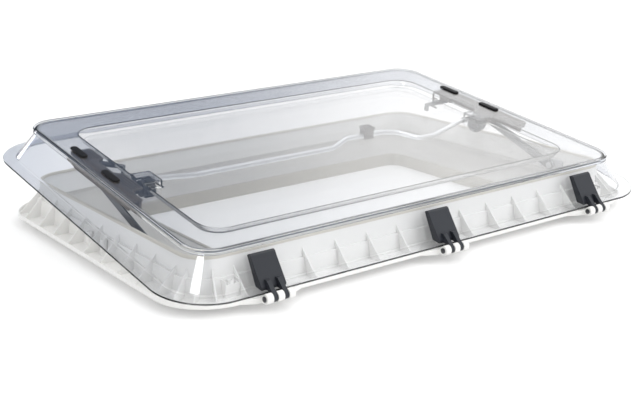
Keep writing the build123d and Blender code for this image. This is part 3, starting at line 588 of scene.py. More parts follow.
def frame_ribs():
    """Ribs round the collar: along the long walls, along the ends and across the corners."""
    kit = bpy.context.scene.roof_window_frame
    pitch = kit.rib_pitch / MM
    long_rib = rib(COLLAR[1] / 2 - 1.5, FLANGE[1] / 2 - 2.5)
    steps = [75.0 + pitch * k for k in range(kit.ribs)]
    made = [placed(long_rib, (x, 0, 0), (0, side, 0), (0, 0, 1))
            for x in [-s for s in steps] + [0.0] + steps for side in (-1, 1)]
    end_rib = rib(COLLAR[0] / 2 - 1.5, FLANGE[0] / 2 - 2.5)
    made += [placed(end_rib, (0, pitch * k, 0), (side, 0, 0), (0, 0, 1))
             for k in range(-4, 5) for side in (-1, 1)]
    corner_rib = rib(COLLAR[2] - 1, FLANGE[2] - 2.5)
    centre = (FLANGE[0] / 2 - FLANGE[2], FLANGE[1] / 2 - FLANGE[2])
    for side_x, side_y in SIDES:
        for t in np.radians((22.5, 45.0, 67.5)):
            made.append(placed(corner_rib, (side_x * centre[0], side_y * centre[1], 0),
                               (side_x * math.cos(t), side_y * math.sin(t), 0), (0, 0, 1)))
    return made


def frame_towers():
    """Screw towers: a turned wall with a bore, in two groups."""
    wall = [(BORE_R, 2.6), (7.6, 2.6), (6.7, 4.2), (6.5, 7.0), (6.3, TOWER_H - 1), (5.6, TOWER_H),
            (3.4, TOWER_H), (BORE_R, TOWER_H - 0.8)]
    post = rings([level(unit_circle(24) * r, h) for r, h in wall], joined=True)
    return [moved(post, a * x, b * y) for x, y in (CORNER_SCREW, END_SCREW) for a, b in SIDES]


def tower_cages():
    """Round each corner tower, fins out from the collar's wall and a plate that joins them."""
    fin_t, fin_y, plate_y, foot = 2.2, 329.0, 350.8, PLATE_T - 0.5
    made = []
    for side_x, side_y in SIDES:
        x = side_x * CORNER_SCREW[0]
        near, far = sorted((side_y * fin_y, side_y * (plate_y + 1.6)))
        for across, top in ((-13.5, 33.0), (-9.2, 29.0), (7.0, 29.0), (11.3, 33.0)):
            made.append(brick(x + across, x + across + fin_t, near, far, foot, top, 0.3, 0.6))
        near, far = sorted((side_y * plate_y, side_y * (plate_y + fin_t)))
        made.append(brick(x - 13.4, x + 13.4, near, far, foot, 27.0, 0.3, 0.6))
    return made


def hinge_lugs():
    """At each hinge a swelling of the flange, and three knuckles: a round head on a straight root."""
    angle = np.linspace(-math.pi / 2, math.pi / 2, 25)
    head = (HINGE_Y, HINGE_Z) - KNUCKLE_R * arc(angle)
    root = [(-393.0, HINGE_Z - KNUCKLE_R), (-393.0, RIM_H)]
    knuckle = slab(np.vstack([head, root]), -KNUCKLE_W / 2, KNUCKLE_W / 2, 0.8)
    swell = slab([(-62, -378.0), (-34, -394.0), (34, -394.0), (62, -378.0)], 0.0, RIM_H, 0.7)
    made = []
    for x in (-HINGE_X, 0.0, HINGE_X):
        made.append(moved(swell, x))
        made += [on_x(knuckle, x + k * KNUCKLE_PITCH) for k in (-1, 0, 1)]
    return made


def collar_bead():
    """The seal on the collar: a bulb with a flat foot, carried round the collar's top.

    Its width follows the cosine of an angle and its height the sine raised to 0.8.
    """
    half = BEAD_W / 2
    bulb = [grown(COLLAR, -half * (1 - 0.98 * math.cos(t)), COLLAR_H + 1.6 + 3.8 * math.sin(t) ** 0.8)
            for t in np.linspace(0, math.pi, 13)]
    foot = [grown(COLLAR, 0.05 - BEAD_W, COLLAR_H), grown(COLLAR, -0.05, COLLAR_H)]
    return sections(bulb + foot, joined=True)


def liner_shell():
    """The liner's section carried round: lip of the light opening, slope, cove and wall band.

    The cove is a quarter ellipse between two sections.
    """
    def wall(z, inwards=0.0):
        """The liner's section on the frame's inner face, its corner less drawn in than its sides."""
        length, width, radius, z = inside_at(z, LINER_GAP)
        return length - 2 * inwards, width - 2 * inwards, radius - inwards / 3, z

    floor_z, band_z = 9.5, 26.0
    cove = bend(wall(22.0, 3.0), (*wall(floor_z, 20.0)[:3], 13.5), False, 6)
    return sections([
        grown(LIGHT, LIP_T + 0.05, 6.0), wall(floor_z), wall(band_z), wall(band_z, 2.2),
        (*wall(band_z, 3.0)[:3], 25.2), *cove, (LIGHT[0] + 16.1, LIGHT[1] + 16.1, LIGHT[2] + 6.05, 9.2),
        grown(LIGHT, LIP_T + 0.05, LIP_TOP),
    ], joined=True)


def lip_shell():
    """The trim round the light opening: an upright wall whose rounded bead laps over the liner."""
    low, lap, top = -SKIRT_DEPTH, LIP_T + LIP_LAP, LIP_TOP + LIP_BEAD
    wall = [(0.5, low), (LIP_T - 0.5, low), (LIP_T, low + 0.6), (LIP_T, LIP_TOP),
            (LIP_T + 0.2, LIP_TOP + 0.25), (lap - 0.4, LIP_TOP + 0.25), (lap, LIP_TOP + 0.7)]
    return sections([
        *[grown(LIGHT, out, z) for out, z in wall],
        *bend(grown(LIGHT, lap, top - 1.2), grown(LIGHT, lap - 1.2, top), False, 4),
        *bend(grown(LIGHT, 1.2, top), grown(LIGHT, 0, top - 1.2), True, 4), grown(LIGHT, 0, low + 0.6),
    ], joined=True)


class ROOFWINDOW_OT_frame(bpy.types.Operator):
    """Make the ribbed base frame with its screw towers and hinge knuckles"""
    bl_idname = "roofwindow.frame"
    bl_label = "Base frame"

    def execute(self, context):
        shells = [frame_wall(), *frame_ribs(), *frame_towers(), *tower_cages(), *hinge_lugs()]
        piece("base_frame_moulding", shells, "root", "white_moulding", "base_frame")
        return {"FINISHED"}


class ROOFWINDOW_OT_seal(bpy.types.Operator):
    """Make the seal on the collar's top edge"""
    bl_idname = "roofwindow.seal"
    bl_label = "Collar seal"

    def execute(self, context):
        piece("collar_seal_bead", [collar_bead()], "root", "seal_rubber", "collar_seal")
        return {"FINISHED"}


class ROOFWINDOW_OT_liner(bpy.types.Operator):
    """Make the inner liner round the light opening"""
    bl_idname = "roofwindow.liner"
    bl_label = "Inner liner"

    def execute(self, context):
        piece("liner_reveal", [liner_shell()], "root", "liner_plastic", "inner_liner")
        piece("light_opening_lip", [lip_shell()], "root", "lip_trim", "liner_lip")
        return {"FINISHED"}


# Dome panes

def wall_at(z, out=0.0):
    """The dome wall's outer face at a height, moved outwards."""
    share = (z - FOOT_Z) / (LEDGE_Z - FOOT_Z)
    return grown([FOOT[k] + (HEAD[k] - FOOT[k]) * share for k in range(3)], out, z)


def outer_shell():
    """The outer pane: flange, sloping wall, ledge and flat top, then the same inside, 3.5 thick."""
    outside = [grown(DOME, -1.4, DOME_Z)]
    outside += bend(grown(DOME, -1.4, DOME_Z), grown(DOME, 0, DOME_Z + 1.4), True, 4)[1:]
    outside += bend(grown(DOME, 0, FOOT_Z - 1.4), grown(DOME, -1.4, FOOT_Z), False, 4)
    outside += bend(wall_at(FOOT_Z, 3.5), wall_at(FOOT_Z + 4.0), True, 4)
    outside += [wall_at(LEDGE_Z - 1.5)]
    outside += bend(wall_at(LEDGE_Z - 1.5), wall_at(LEDGE_Z - 0.2, 1.0), False, 3)[1:]
    ledge = (HEAD[0] + 2 * LEDGE_OUT, HEAD[1] + 2 * LEDGE_OUT, HEAD[2] + 2)
    outside += bend(grown(ledge, -1.6, LEDGE_Z), grown(ledge, 0, LEDGE_Z + 1.6), True, 4)
    outside += bend(grown(ledge, 0, DOME_TOP - 3.2), grown(ledge, -3.2, DOME_TOP), False, 6)
    outside += [grown(ledge, -4.2, DOME_TOP)]
    inner_head = grown(HEAD, -PANE_T, PANE_Z)
    inside = [grown(inner_head, -3.4, PANE_Z)]
    inside += bend(grown(inner_head, -2.4, PANE_Z), grown(inner_head, 0, PANE_Z - 2.4), True, 4)
    inside += [(*wall_at(LEDGE_Z - 1.0, -PANE_T)[:3], LEDGE_Z - 1.0)]
    inside += bend(wall_at(FOOT_Z + 1.5, -PANE_T), wall_at(DOME_Z + 0.4, -PANE_T + 1.0), False, 3)
    inside += [wall_at(DOME_Z, -PANE_T + 2.4)]
    shell = sections(inside + outside)
    return shell, tint_and_shade_zone(shell[0], inside, outside)


def tint_and_shade_zone(points, inside, outside):
    """How deep the outer pane's tint is at each point of its two sides' rows: 0 on the top, 0.85 on
    the ledge's edge as painted shade, and on walls and flange 0.25, growing to 1 at the rear of the
    left end by the smooth steps of x and y, where the deeper grey-blue is painted reflection."""
    side = len(points) // len(inside + outside)
    wall = np.repeat([row[3] < LEDGE_Z for row in inside + outside], side)
    ledge = [LEDGE_Z <= row[3] < DOME_TOP - 0.5 for row in outside]
    edge = np.repeat([False] * len(inside) + ledge, side)
    # Painted reflection: the tint deepens to 1 towards the rear of the left end.
    depth = 0.25 + 0.75 * smooth(-points[:, 0], 410.0, 510.0) * smooth(points[:, 1], -150.0, 150.0)
    # Painted shade: the ledge's edge is tinted 0.85.
    return np.where(edge, 0.85, depth * wall)


class ROOFWINDOW_OT_outer_pane(bpy.types.Operator):
    """Make the outer pane of the dome"""
    bl_idname = "roofwindow.outer_pane"
    bl_label = "Outer pane"

    def execute(self, context):
        shell, zone = outer_shell()
        piece("dome_outer_pane", [ajar(shell)], "dome", "tinted_acrylic", "outer_pane", 40.0, zone)
        return {"FINISHED"}


def tray_loop(share, inwards, z, bay_in, bay_grow=None):
    """The tray's outline at a share of its height, moved inwards, with a square bay in each short
    side. The bay's back is moved inwards too, and its two sides apart, by as much if not said."""
    shrink = 2 * (TRAY_IN * (1 - share) + inwards)
    a, b, radius = (TRAY[0] - shrink) / 2, (TRAY[1] - shrink) / 2, TRAY[2] - shrink / 2
    grow = bay_in if bay_grow is None else bay_grow
    bay_x, low, high = BAY_X - bay_in, BAY_Y0 - grow, BAY_Y1 + grow
    corners = [(a, -b), (a, low), (bay_x, low), (bay_x, high), (a, high), (a, b),
               (-a, b), (-a, high), (-bay_x, high), (-bay_x, low), (-a, low), (-a, -b)]
    return level(about_corners(corners, [radius, *[BAY_CORNER] * 4, radius] * 2, BAY_STEPS), z)


def inner_shell():
    """The inner pane: a rim under the ledge round a tray with two bays, 3 thick."""
    under = [tray_loop(0, 4.2, TRAY_Z, 4.2)]
    for sine, drop in quarter(4):
        drawn = INNER_T * (1 - sine)
        under.append(tray_loop(0, drawn, TRAY_Z + INNER_T * drop, drawn))
    under += [tray_loop(1, 0.6, RIM_Z - 1.0, 0.0), tray_loop(1, -0.4, RIM_Z, -1.0, -0.8)]
    over = [tray_loop(1, 1.6, PANE_Z, 1.6), tray_loop(1, 3.0, PANE_Z - 1.4, 3.0),
            tray_loop(0, 3.2, TRAY_Z + 5.0, 3.0), tray_loop(0, 5.4, TRAY_Z + INNER_T, 5.4),
            tray_loop(0, 6.6, TRAY_Z + INNER_T, 6.6)]
    beside = tray_loop(1, 0.0, RIM_Z, 0.0)[:, :2]
    rim = [rim_loop(grown(HEAD, -5.5, z), beside) for z in (RIM_Z, PANE_Z - 0.2)]
    bonded_and_shaded = [0.0] * (len(under) - 1) + [1.0] * 4 + [0.0] * (len(over) - 1)
    shell = rings(under + rim + over)
    # Painted shade: the rim's grey deepens from front to rear.
    depth = 0.2 + 0.8 * smooth(shell[0][:, 1], -240.0, 120.0)
    return shell, np.repeat(bonded_and_shaded, len(beside)) * depth


def rim_loop(row, beside):
    """A rounded rectangle with a point for each of the bayed outline's.

    Corners match corners. Beside a bay the rim's points take the bay's own y, a hair further apart,
    so that the faces between the two outlines never cross.
    """
    length, width, radius, z = row
    steps = BAY_STEPS + 1
    corner = rounded_rectangle(length, width, radius, BAY_STEPS).reshape(4, steps, 2)
    apart = 0.05 * (np.tile(np.arange(2 * steps), 2) - steps + 0.5)
    y = beside[steps:5 * steps, 1] + apart
    right = np.stack([np.full(4 * steps, length / 2), y], 1)
    left = right[::-1] * (-1, 1)
    return level(np.vstack([corner[0], right, corner[1], corner[2], left, corner[3]]), z)


class ROOFWINDOW_OT_inner_pane(bpy.types.Operator):
    """Make the tray-shaped inner pane"""
    bl_idname = "roofwindow.inner_pane"
    bl_label = "Inner pane"

    def execute(self, context):
        shell, zone = inner_shell()
        piece("dome_inner_pane", [ajar(shell)], "dome", "clear_acrylic", "inner_pane", 40.0, zone)
        return {"FINISHED"}


# Hinges

def front_wall(z):
    """Half the width across the dome's front and rear walls at a height, as y."""
    return wall_at(z)[1] / 2


def hinge_block():
    """A hinge block at x = 0: a wedge with a rounded crown, and two fingers down to the pin."""
    top = -front_wall(BLOCK_TOP)
    body = rounded_outline(
        [(-front_wall(FOOT_Z) - 0.1, FOOT_Z + 0.1), (BLOCK_FRONT, FOOT_Z), (BLOCK_FRONT, FOOT_Z + 5),
         (top - 15, BLOCK_TOP - 3), (top - 11, BLOCK_TOP + 2.5), (top - 6, BLOCK_TOP + 4),
         (top - 0.1, BLOCK_TOP)], (0.8, 1.5, 4.0, 3.0, 3.0, 3.0, 0.8))
    shells = [plate_x(body[::-1], -BLOCK_HALF, BLOCK_HALF, 1.1)]
    eye = (HINGE_Y, HINGE_Z) + EYE_R * arc(np.radians(np.linspace(135, 395, 22)))
    finger = np.vstack([eye, [(HINGE_Y + 10, FOOT_Z + 0.3), (-376.0, FOOT_Z + 0.3), (-376.0, 31.0),
                              (-388.4, 32.0)]])
    for side in (-1, 1):
        middle = side * KNUCKLE_PITCH / 2
        shells.append(plate_x(finger, middle - EYE_W / 2, middle + EYE_W / 2, 0.8))
    return shells


def hinge_pin():
    """A pin at x = 0 with a domed head, and a clip in a groove at its far end."""
    reach = KNUCKLE_PITCH + KNUCKLE_W / 2 + 0.5
    head = [(2.0, -reach - 3), (3.6, -reach - 2.7), (4.7, -reach - 2.0), (5.0, -reach - 1.2),
            (5.0, -reach - 0.3), (4.8, -reach)]
    clip = [(4.3, reach), (4.4, reach + 0.2), (4.4, reach + 0.8), (4.3, reach + 1)]
    return turned_x([*head, (PIN_R, -reach), (PIN_R, reach), *clip, (PIN_R, reach + 1),
                     (PIN_R, reach + 1.5), (PIN_R - 0.5, reach + 2)], HINGE_Y, HINGE_Z)


class ROOFWINDOW_OT_hinges(bpy.types.Operator):
    """Make the hinge blocks and pins"""
    bl_idname = "roofwindow.hinges"
    bl_label = "Hinges"

    def execute(self, context):
        for name, x in (("left", -HINGE_X), ("middle", 0.0), ("right", HINGE_X)):
            piece(f"{name}_hinge_block_moulding", [ajar(moved(part, x)) for part in hinge_block()],
                  "dome", "slate_plastic", f"{name}_hinge_block")
            piece(f"{name}_hinge_pin_turned", [moved(hinge_pin(), x)], "root", "stainless_pin",
                  f"{name}_hinge_pin")
        return {"FINISHED"}


# Side brackets

def oval_cap(x, y):
    """A domed cap: slot outlines drawn in as they rise, by the cosine and sine of one angle."""
    reach = (CAP_L - CAP_W) / 2
    slot = bar_outline((0, -reach), (0, reach), CAP_W / 2, CAP_W / 2, 12)
    loops = [level(inset(slot, 0.3), 0), level(slot, 0.4)]
    for sine, drop in quarter(6)[1:]:
        loops.append(level(inset(slot, 2.2 * drop), 0.8 + (CAP_H - 1.0) * sine))
    loops.append(level(inset(slot, 4.5), CAP_H))
    return moved(rings(loops), x, y, DOME_TOP)


def bracket_plate():
    """The left bracket's plate, waisted, with its outer rim and a comb at both ends."""
    outer, inner, waist = -BRACKET_X, -BRACKET_IN, -BRACKET_IN - 15.0
    front, rear, comb_x, top = BRACKET_Y0, BRACKET_Y1, WEB_X + 5, UNDER + 5
    outline = rounded_outline(
        [(WEB_X + 3, front), (WEB_X + 3, PLATE_Y0), (inner, PLATE_Y0), (inner, 22), (waist, 34),
         (waist, 98), (inner, 106), (inner, rear), (outer, rear), (outer, front)],
        (2, 6, 4, 8, 8, 6, 4, 6, 6, 3))
    shells = [slab(outline, UNDER, UNDER + 3.6, 0.8),
              brick(outer + 0.6, WEB_X, front + 1, rear - 1, UNDER + 3, top, 0.5, 4.0)]
    for x in comb_x + 5.5 * np.arange(4):
        for y0, y1 in ((PLATE_Y0 + 4, 18), (110, rear - 5)):
            shells.append(brick(x, x + 2.6, y0, y1, UNDER + 3, top, 0.5, 0.8))
    for k in range(2, 8):
        reach = (inner if k < 5 else waist) - 2
        rib_outline = [(WEB_X + 2, INSIDE), (WEB_X + 2, UNDER - 9), (WEB_X + 4, UNDER - 9.3),
                       (reach, UNDER - 1.5), (reach, INSIDE)]
        shells.append(placed(slab(rib_outline, 0, 2.2, 0.3, 1), (0, front + 18.2 + 24 * k, 0),
                             (1, 0, 0), (0, 0, 1)))
    return shells


def bracket_channel():
    """The left bracket's two webs with the rail between, which the arm's roller runs in."""
    outer, front, rear = -BRACKET_X, BRACKET_Y0, BRACKET_Y1
    start, end = front + 4, 116
    side = rounded_outline([(start, UNDER + 1), (start, 60), (front + 22, 47), (rear - 22, 47),
                            (rear - 4, 60), (rear - 4, UNDER + 1)], (0.5, 3, 6, 6, 3, 0.5))
    shells = [
        plate_x(side, outer, outer + 2.8, 0.6),
        brick(WEB_X, WEB_X + 2.8, start, end, RAIL_Z, INSIDE, 0.5, 0.8),
        brick(WEB_X - 4, WEB_X + 1, start, end, RAIL_Z, RAIL_Z + 3.2, 0.5, 0.8),
        brick(outer + 1, WEB_X + 1, end - 8, end, RAIL_Z, INSIDE),
        brick(WEB_X - 4, WEB_X + 1, start, start + 8, RAIL_Z, INSIDE),
    ]
    rivet = [(1.4, outer + 0.2), (1.6, outer - 0.6), (3.0, outer - 0.8), (4.0, outer - 0.5),
             (4.4, outer - 0.1), (4.4, outer + 0.6)]
    return shells + [turned_x(rivet, y, 57.5, 20) for y in (-64.0, 82.0)]


def bracket_fittings():
    """What hangs under the left bracket: the knob's boss, the catch's housing and its rack."""
    shells = [
        brick(-BRACKET_X + 1, -453.5, 124, 159, 49, INSIDE, 0.9, 2.0),
        brick(WEB_X + 1, -BRACKET_IN - 1, KNOB_Y - 6.5, KNOB_Y + 6.5, KNOB_Z, INSIDE),
        turned_x([(5.9, WEB_X + 1), (6.5, WEB_X + 1.8), (6.5, -432.2), (5.9, -431.4)], KNOB_Y, KNOB_Z),
        turned_x([(5.5, -454), (5.5, -447.2), (5.1, -446.4), (4.2, -446.0), (3.6, -446.5),
                  (1.0, -446.6)], 151.0, 62.5),
        moved(turned([(6.0, 57.4), (9.8, 57.4), (10.5, 58.2), (10.5, INSIDE)]), -LEVER_X, LEVER_Y),
        brick(RACK_X, RACK_X + 3, 157.5, 162, 32, INSIDE, 0.5, 0.8),
    ]
    for y in 127.5 + 6.6 * np.arange(5):
        shells.append(brick(-454.2, -452.9, y, y + 2.4, 51, UNDER, 0.4, 0.4))
    for z in (32.0, 42.5, 53.0):
        shells.append(brick(RACK_X, RACK_X + 3, 145.5, 158.5, z, z + 4, 0.5, 0.8))
    return shells


def star_knob():
    """The left knob: a lobed body with a dished face, on a round collar.

    Its outline's radius falls into eight valleys, by the square of half of one plus the cosine of
    eight times the angle.
    """
    count = 160
    valley = (0.5 + 0.5 * np.cos(np.arange(count) * 16 * math.pi / count)) ** 2

    def lobed(radius, depth, x):
        return level(unit_circle(count) * (radius - depth * valley)[:, None], x)

    collar_r, back, face = KNOB_R - 3.5, -KNOB_OUT + 8.0, -KNOB_IN
    loops = [lobed(collar_r - 0.8, 0, -KNOB_OUT), lobed(collar_r, 0, -KNOB_OUT + 0.8),
             lobed(collar_r, 0, back - 0.2), lobed(collar_r + 0.4, 0, back),
             lobed(KNOB_R - 1.8, 3.2, back)]
    for sine, drop in quarter(4)[1:]:
        loops.append(lobed(KNOB_R - 1.8 * (1 - sine), 3.6, back + 1.8 * drop))
    for sine, drop in quarter(5):
        loops.append(lobed(KNOB_R - 3.0 * drop, 3.6 - 1.2 * sine, face - 3.0 * (1 - sine)))
    loops += [lobed(KNOB_R - 5.4, 2.0, face), lobed(KNOB_R - 6.2, 1.6, face - 0.8),
              lobed(KNOB_R - 8.0, 0.8, face - 1.6), lobed(7.0, 0, face - 1.6),
              lobed(6.6, 0, face - 0.6), lobed(2.0, 0, face - 0.5)]
    return on_x(rings(loops), y=KNOB_Y, z=KNOB_Z)


def lever(angle):
    """A release lever at its hub: a tapering bar with a turned-down, ribbed end."""
    t, tip_r = math.radians(angle), 5.5
    shells = [slab(bar_outline((0, 0), (LEVER_L - tip_r, 0), LEVER_HUB, tip_r, 12), -2.5, 2.5, 0.9),
              brick(LEVER_L - 6.5, LEVER_L - 1.5, -tip_r, tip_r, -13.5, 2.0, 1.0, 1.6),
              turned([(8.0, 2.4), (7.6, 3.0), (5.2, 3.0), (5.0, 2.4)], 28)]
    shells += [brick(x, x + 2, -4.6, 4.6, 2.2, 2.9, 0.3, 0.4) for x in (22, 28, 34, 40)]
    along = (math.cos(t), math.sin(t), 0), (-math.sin(t), math.cos(t), 0)
    return [placed(shell, (0, 0, 0), *along) for shell in shells]


class ROOFWINDOW_OT_brackets(bpy.types.Operator):
    """Make the side brackets with their caps, knobs and release levers"""
    bl_idname = "roofwindow.brackets"
    bl_label = "Side brackets"

    def execute(self, context):
        moulding = bracket_plate() + bracket_channel() + bracket_fittings()
        caps = [oval_cap(-CAP_X, y) for y in CAP_Y]
        for name, side, angle in (("left", -1, -49.0), ("right", 1, 185.0)):
            for kind, shells, body, slot, node in (
                    ("bracket_moulding", moulding, "dome", "dark_plastic", "side_bracket"),
                    ("cap_pair", caps, "dome", "cap_plastic", "oval_caps"),
                    ("knob_lobed", [star_knob()], f"{name}_knob", "black_plastic", "star_knob")):
                seated = [ajar(shell if side < 0 else mirrored(shell)) for shell in shells]
                piece(f"{name}_{kind}", seated, body, slot, f"{name}_{node}")
            seated = [ajar(moved(part, side * LEVER_X, LEVER_Y, LEVER_Z)) for part in lever(angle)]
            piece(f"{name}_lever_moulding", seated, f"{name}_lever", "black_plastic",
                  f"{name}_release_lever")
        return {"FINISHED"}


# Support arms

def arm_point(along):
    """The (y, z) point of the arm's middle line at a distance from its pivot."""
    turn = math.radians(ARM_ANGLE)
    return ARM_Y + along * math.cos(turn), ARM_Z + along * math.sin(turn)


def support_arm():
    """The left arm: a flat bar with rolled edges, a pressed rib and the roller's pin."""
    shoulder, tip = arm_point(ARM_LENGTH - 40), arm_point(ARM_LENGTH)
    return [plate_x(bar_outline(arm_point(0), shoulder, 9.0, 8.0), ARM_OUT, ARM_IN, 0.6),
            plate_x(bar_outline(shoulder, tip, 8.0, 6.0), ARM_OUT + 0.02, ARM_IN - 0.02, 0.6),
            plate_x(bar_outline(arm_point(26), arm_point(ARM_LENGTH - 48), 3.2, 3.2),
                    ARM_IN - 0.3, ARM_IN + 0.7, 0.4),
            turned_x([(2.4, ARM_IN - 0.5), (2.4, ARM_IN + 4.9), (2.1, ARM_IN + 5.4)], *tip, 24)]


def roller():
    """The nylon roller, grooved on both faces."""
    x = ARM_IN + 1.4
    face = [(2.5, 0.0), (3.4, 0.0), (3.6, 0.4), (4.2, 0.4), (4.4, 0.0), (4.7, 0.0), (5.0, 0.4)]
    profile = [(r, x + h) for r, h in face] + [(r, x + ROLLER_W - h) for r, h in face[::-1]]
    return turned_x(profile, *arm_point(ARM_LENGTH), 28)


def arm_pivot():
    """A seat on the frame's leaning side wall, with stud, washer and two screws."""
    outline = rounded_rectangle(64, 21, 5, 6) + (ARM_Y, ARM_Z + 3)
    face = ARM_OUT - 2.4
    wall = 0.05 - np.array([inside_at(z)[0] / 2 for z in outline[:, 1]])
    loops = [np.column_stack([outline, wall])]
    for sine, drop in quarter(3):
        loops.append(level(inset(outline, 0.9 * drop), face - 0.9 * (1 - sine)))
    stud = [(4.0, ARM_OUT - 0.5), (4.0, ARM_IN + 0.4)]
    washer = [(6.7, ARM_IN + 0.4), (7.0, ARM_IN + 0.7), (7.0, ARM_IN + 1.6), (6.4, ARM_IN + 2.0)]
    crown = [(4.6, ARM_IN + 2.4), (3.0, ARM_IN + 2.4), (2.6, ARM_IN + 1.8)]
    screw = [(4.2, face - 0.3), (4.0, face + 0.5), (3.0, face + 1.1), (1.6, face + 1.3),
             (1.4, face + 0.4)]
    return [on_x(rings(loops)),
            turned_x([(8.0, face - 0.5), (8.0, ARM_OUT - 0.6), (7.7, ARM_OUT - 0.3)], ARM_Y, ARM_Z),
            turned_x(stud + washer + crown, ARM_Y, ARM_Z),
            *[turned_x(screw, ARM_Y + y, ARM_Z + 3, 20) for y in (-24, 24)]]


class ROOFWINDOW_OT_arms(bpy.types.Operator):
    """Make the support arms with their rollers and pivots"""
    bl_idname = "roofwindow.arms"
    bl_label = "Support arms"

    def execute(self, context):
        for name, seat in (("left", lambda shell: shell), ("right", mirrored)):
            for kind, shells, body, slot, node in (
                    ("arm_pressing", support_arm(), f"{name}_arm", "arm_metal", "support_arm"),
                    ("roller_turned", [roller()], f"{name}_arm", "roller_plastic", "arm_roller"),
                    ("pivot_assembly", arm_pivot(), "root", "zinc_steel", "arm_pivot")):
                piece(f"{name}_{kind}", [seat(part) for part in shells], body, slot, f"{name}_{node}")
        return {"FINISHED"}


# Operating bow

def bow_end(side):
    """A moulded end: an eye on the knob's bolt and a socket for the tube."""
    tube_x, y, z = BOW_ROUTE[0] if side < 0 else BOW_ROUTE[-1]
    web = plate_x(bar_outline((KNOB_Y, KNOB_Z), (y, z), 8.5, 6.5), tube_x, side * 431.0, 0.9)
    mouth = tube_x - side * 14.0
    profile = [(BOW_R + 0.2, mouth), (5.9, mouth), (6.5, mouth + side * 0.8), (6.5, tube_x + side)]
    if side < 0:
        profile = profile[::-1]
    return [web, turned_x(profile, y, z)]


def bow_clip():
    """A clip under the inner pane, open below, round the bow's raised stretch."""
    gap, jaw = CLIP_GAP, 2.6
    outline = [(-12, TRAY_Z), (-12, TRAY_Z - 4), (-gap - jaw, TRAY_Z - 7),
               (-gap - jaw, CLIP_Z - 1), (-gap - 5, CLIP_Z - 6), (-gap - 2.6, CLIP_Z - 6.5),
               (-gap, CLIP_Z - 1), (-gap, CLIP_Z + gap), (gap, CLIP_Z + gap), (gap, CLIP_Z - 5.5),
               (gap + jaw, CLIP_Z - 9), (gap + 4, CLIP_Z - 5), (gap + 4, TRAY_Z - 5),
               (13, TRAY_Z - 3), (13, TRAY_Z)]
    radii = (0.3, 1.2, 2.5, 1.5, 0.8, 0.8, 2.0, 2.0, 2.0, 1.0, 0.8, 1.5, 2.0, 1.2, 0.3)
    clip = plate_x(rounded_outline(outline, radii), -CLIP_W / 2, CLIP_W / 2, 0.5)
    return moved(clip, CLIP_X, CLIP_Y)


class ROOFWINDOW_OT_bow(bpy.types.Operator):
    """Make the operating bow with its moulded ends and its clip"""
    bl_idname = "roofwindow.bow"
    bl_label = "Operating bow"

    def execute(self, context):
        line = rounded_route(BOW_ROUTE, BOW_RADII, 14)
        piece("operating_bow_tube", [ajar(tube(line, BOW_R, 28))], "bow", "satin_tube",
              "operating_bow")
        for name, side in (("left", -1), ("right", 1)):
            piece(f"{name}_bow_end_moulding", [ajar(part) for part in bow_end(side)], "bow",
                  "black_plastic", f"{name}_bow_end")
        piece("bow_clip_moulding", [ajar(bow_clip())], "dome", "dark_plastic", "bow_clip")
        return {"FINISHED"}


# Stage

def camera_axes(kit):
    """The camera's right, up and backward directions from its azimuth, elevation and roll."""
    a, e, r = kit.azimuth, kit.elevation, kit.roll
    back = Vector((math.sin(a) * math.cos(e), -math.cos(a) * math.cos(e), math.sin(e)))
    level_right = Vector((math.cos(a), math.sin(a), 0))
    level_up = back.cross(level_right)
    right = level_right * math.cos(r) + level_up * math.sin(r)
    up = level_up * math.cos(r) - level_right * math.sin(r)
    return right, up, back


def soft_sun(name, place, spread, strength, mirrored_too):
    """An even light from one side: a sun spread over an angle in degrees, seen in mirrors or not."""
    lamp = bpy.data.lights.new(name, "SUN")
    lamp.angle, lamp.energy = math.radians(spread), strength
    made = bpy.data.objects.new(name, lamp)
    made.location = place
    made.rotation_mode = "QUATERNION"
    made.rotation_quaternion = (-Vector(place)).to_track_quat("-Z", "Y")
    made.visible_glossy = made.visible_transmission = mirrored_too
    bpy.context.scene.collection.objects.link(made)


def eased(tree, value, low, high):
    """A value's smooth step from 0 at low to 1 at high."""
    made = add_node(tree, "ShaderNodeMapRange", Value=value, From_Min=low, From_Max=high)
    made.interpolation_type = "SMOOTHSTEP"
    return made.outputs[0]


def facing(tree, way, towards, low, high):
    """How far a direction points towards another: the smooth step of their dot product."""
    dot = add_node(tree, "ShaderNodeVectorMath", "DOT_PRODUCT", _0=way,
                   _1=Vector(towards).normalized())
    return eased(tree, dot.outputs["Value"], low, high)


def light_tent(tree, kit):
    """The studio: a grey room with a pale side, a bright ceiling, two small bright patches that
    make the streaks on the dome, and a white card behind.

    Scattered light comes evenly from all round, so only mirrored and bent rays see the room.
    """
    way = tree.nodes.new("ShaderNodeTexCoord").outputs["Generated"]
    up = add_node(tree, "ShaderNodeSeparateXYZ", Vector=way).outputs[2]
    card = add_node(tree, "ShaderNodeMath", "MULTIPLY", _0=facing(tree, way, CARD, 0.68, 0.80),
                    _1=eased(tree, up, 0.20, 0.08))
    path = tree.nodes.new("ShaderNodeLightPath")
    room = (0.14, 0.17, 0.23, 1)
    for share, tone in ((facing(tree, way, PALE_SIDE, 0.06, 0.36), 1.15),
                        (eased(tree, up, 0.66, 0.92), BACKGROUND),
                        (facing(tree, way, FRONT_PATCH, 0.980, 0.988), 8.0),
                        (facing(tree, way, REAR_PATCH, 0.985, 0.993), 5.0),
                        (card.outputs[0], BACKGROUND),
                        (path.outputs["Is Diffuse Ray"], kit.sky),
                        (path.outputs["Is Camera Ray"], BACKGROUND)):
        room = mixed(tree, share, room, (tone, tone, tone, 1))
    feed(tree, tree.nodes["Background"], Strength=1.0, Color=room)


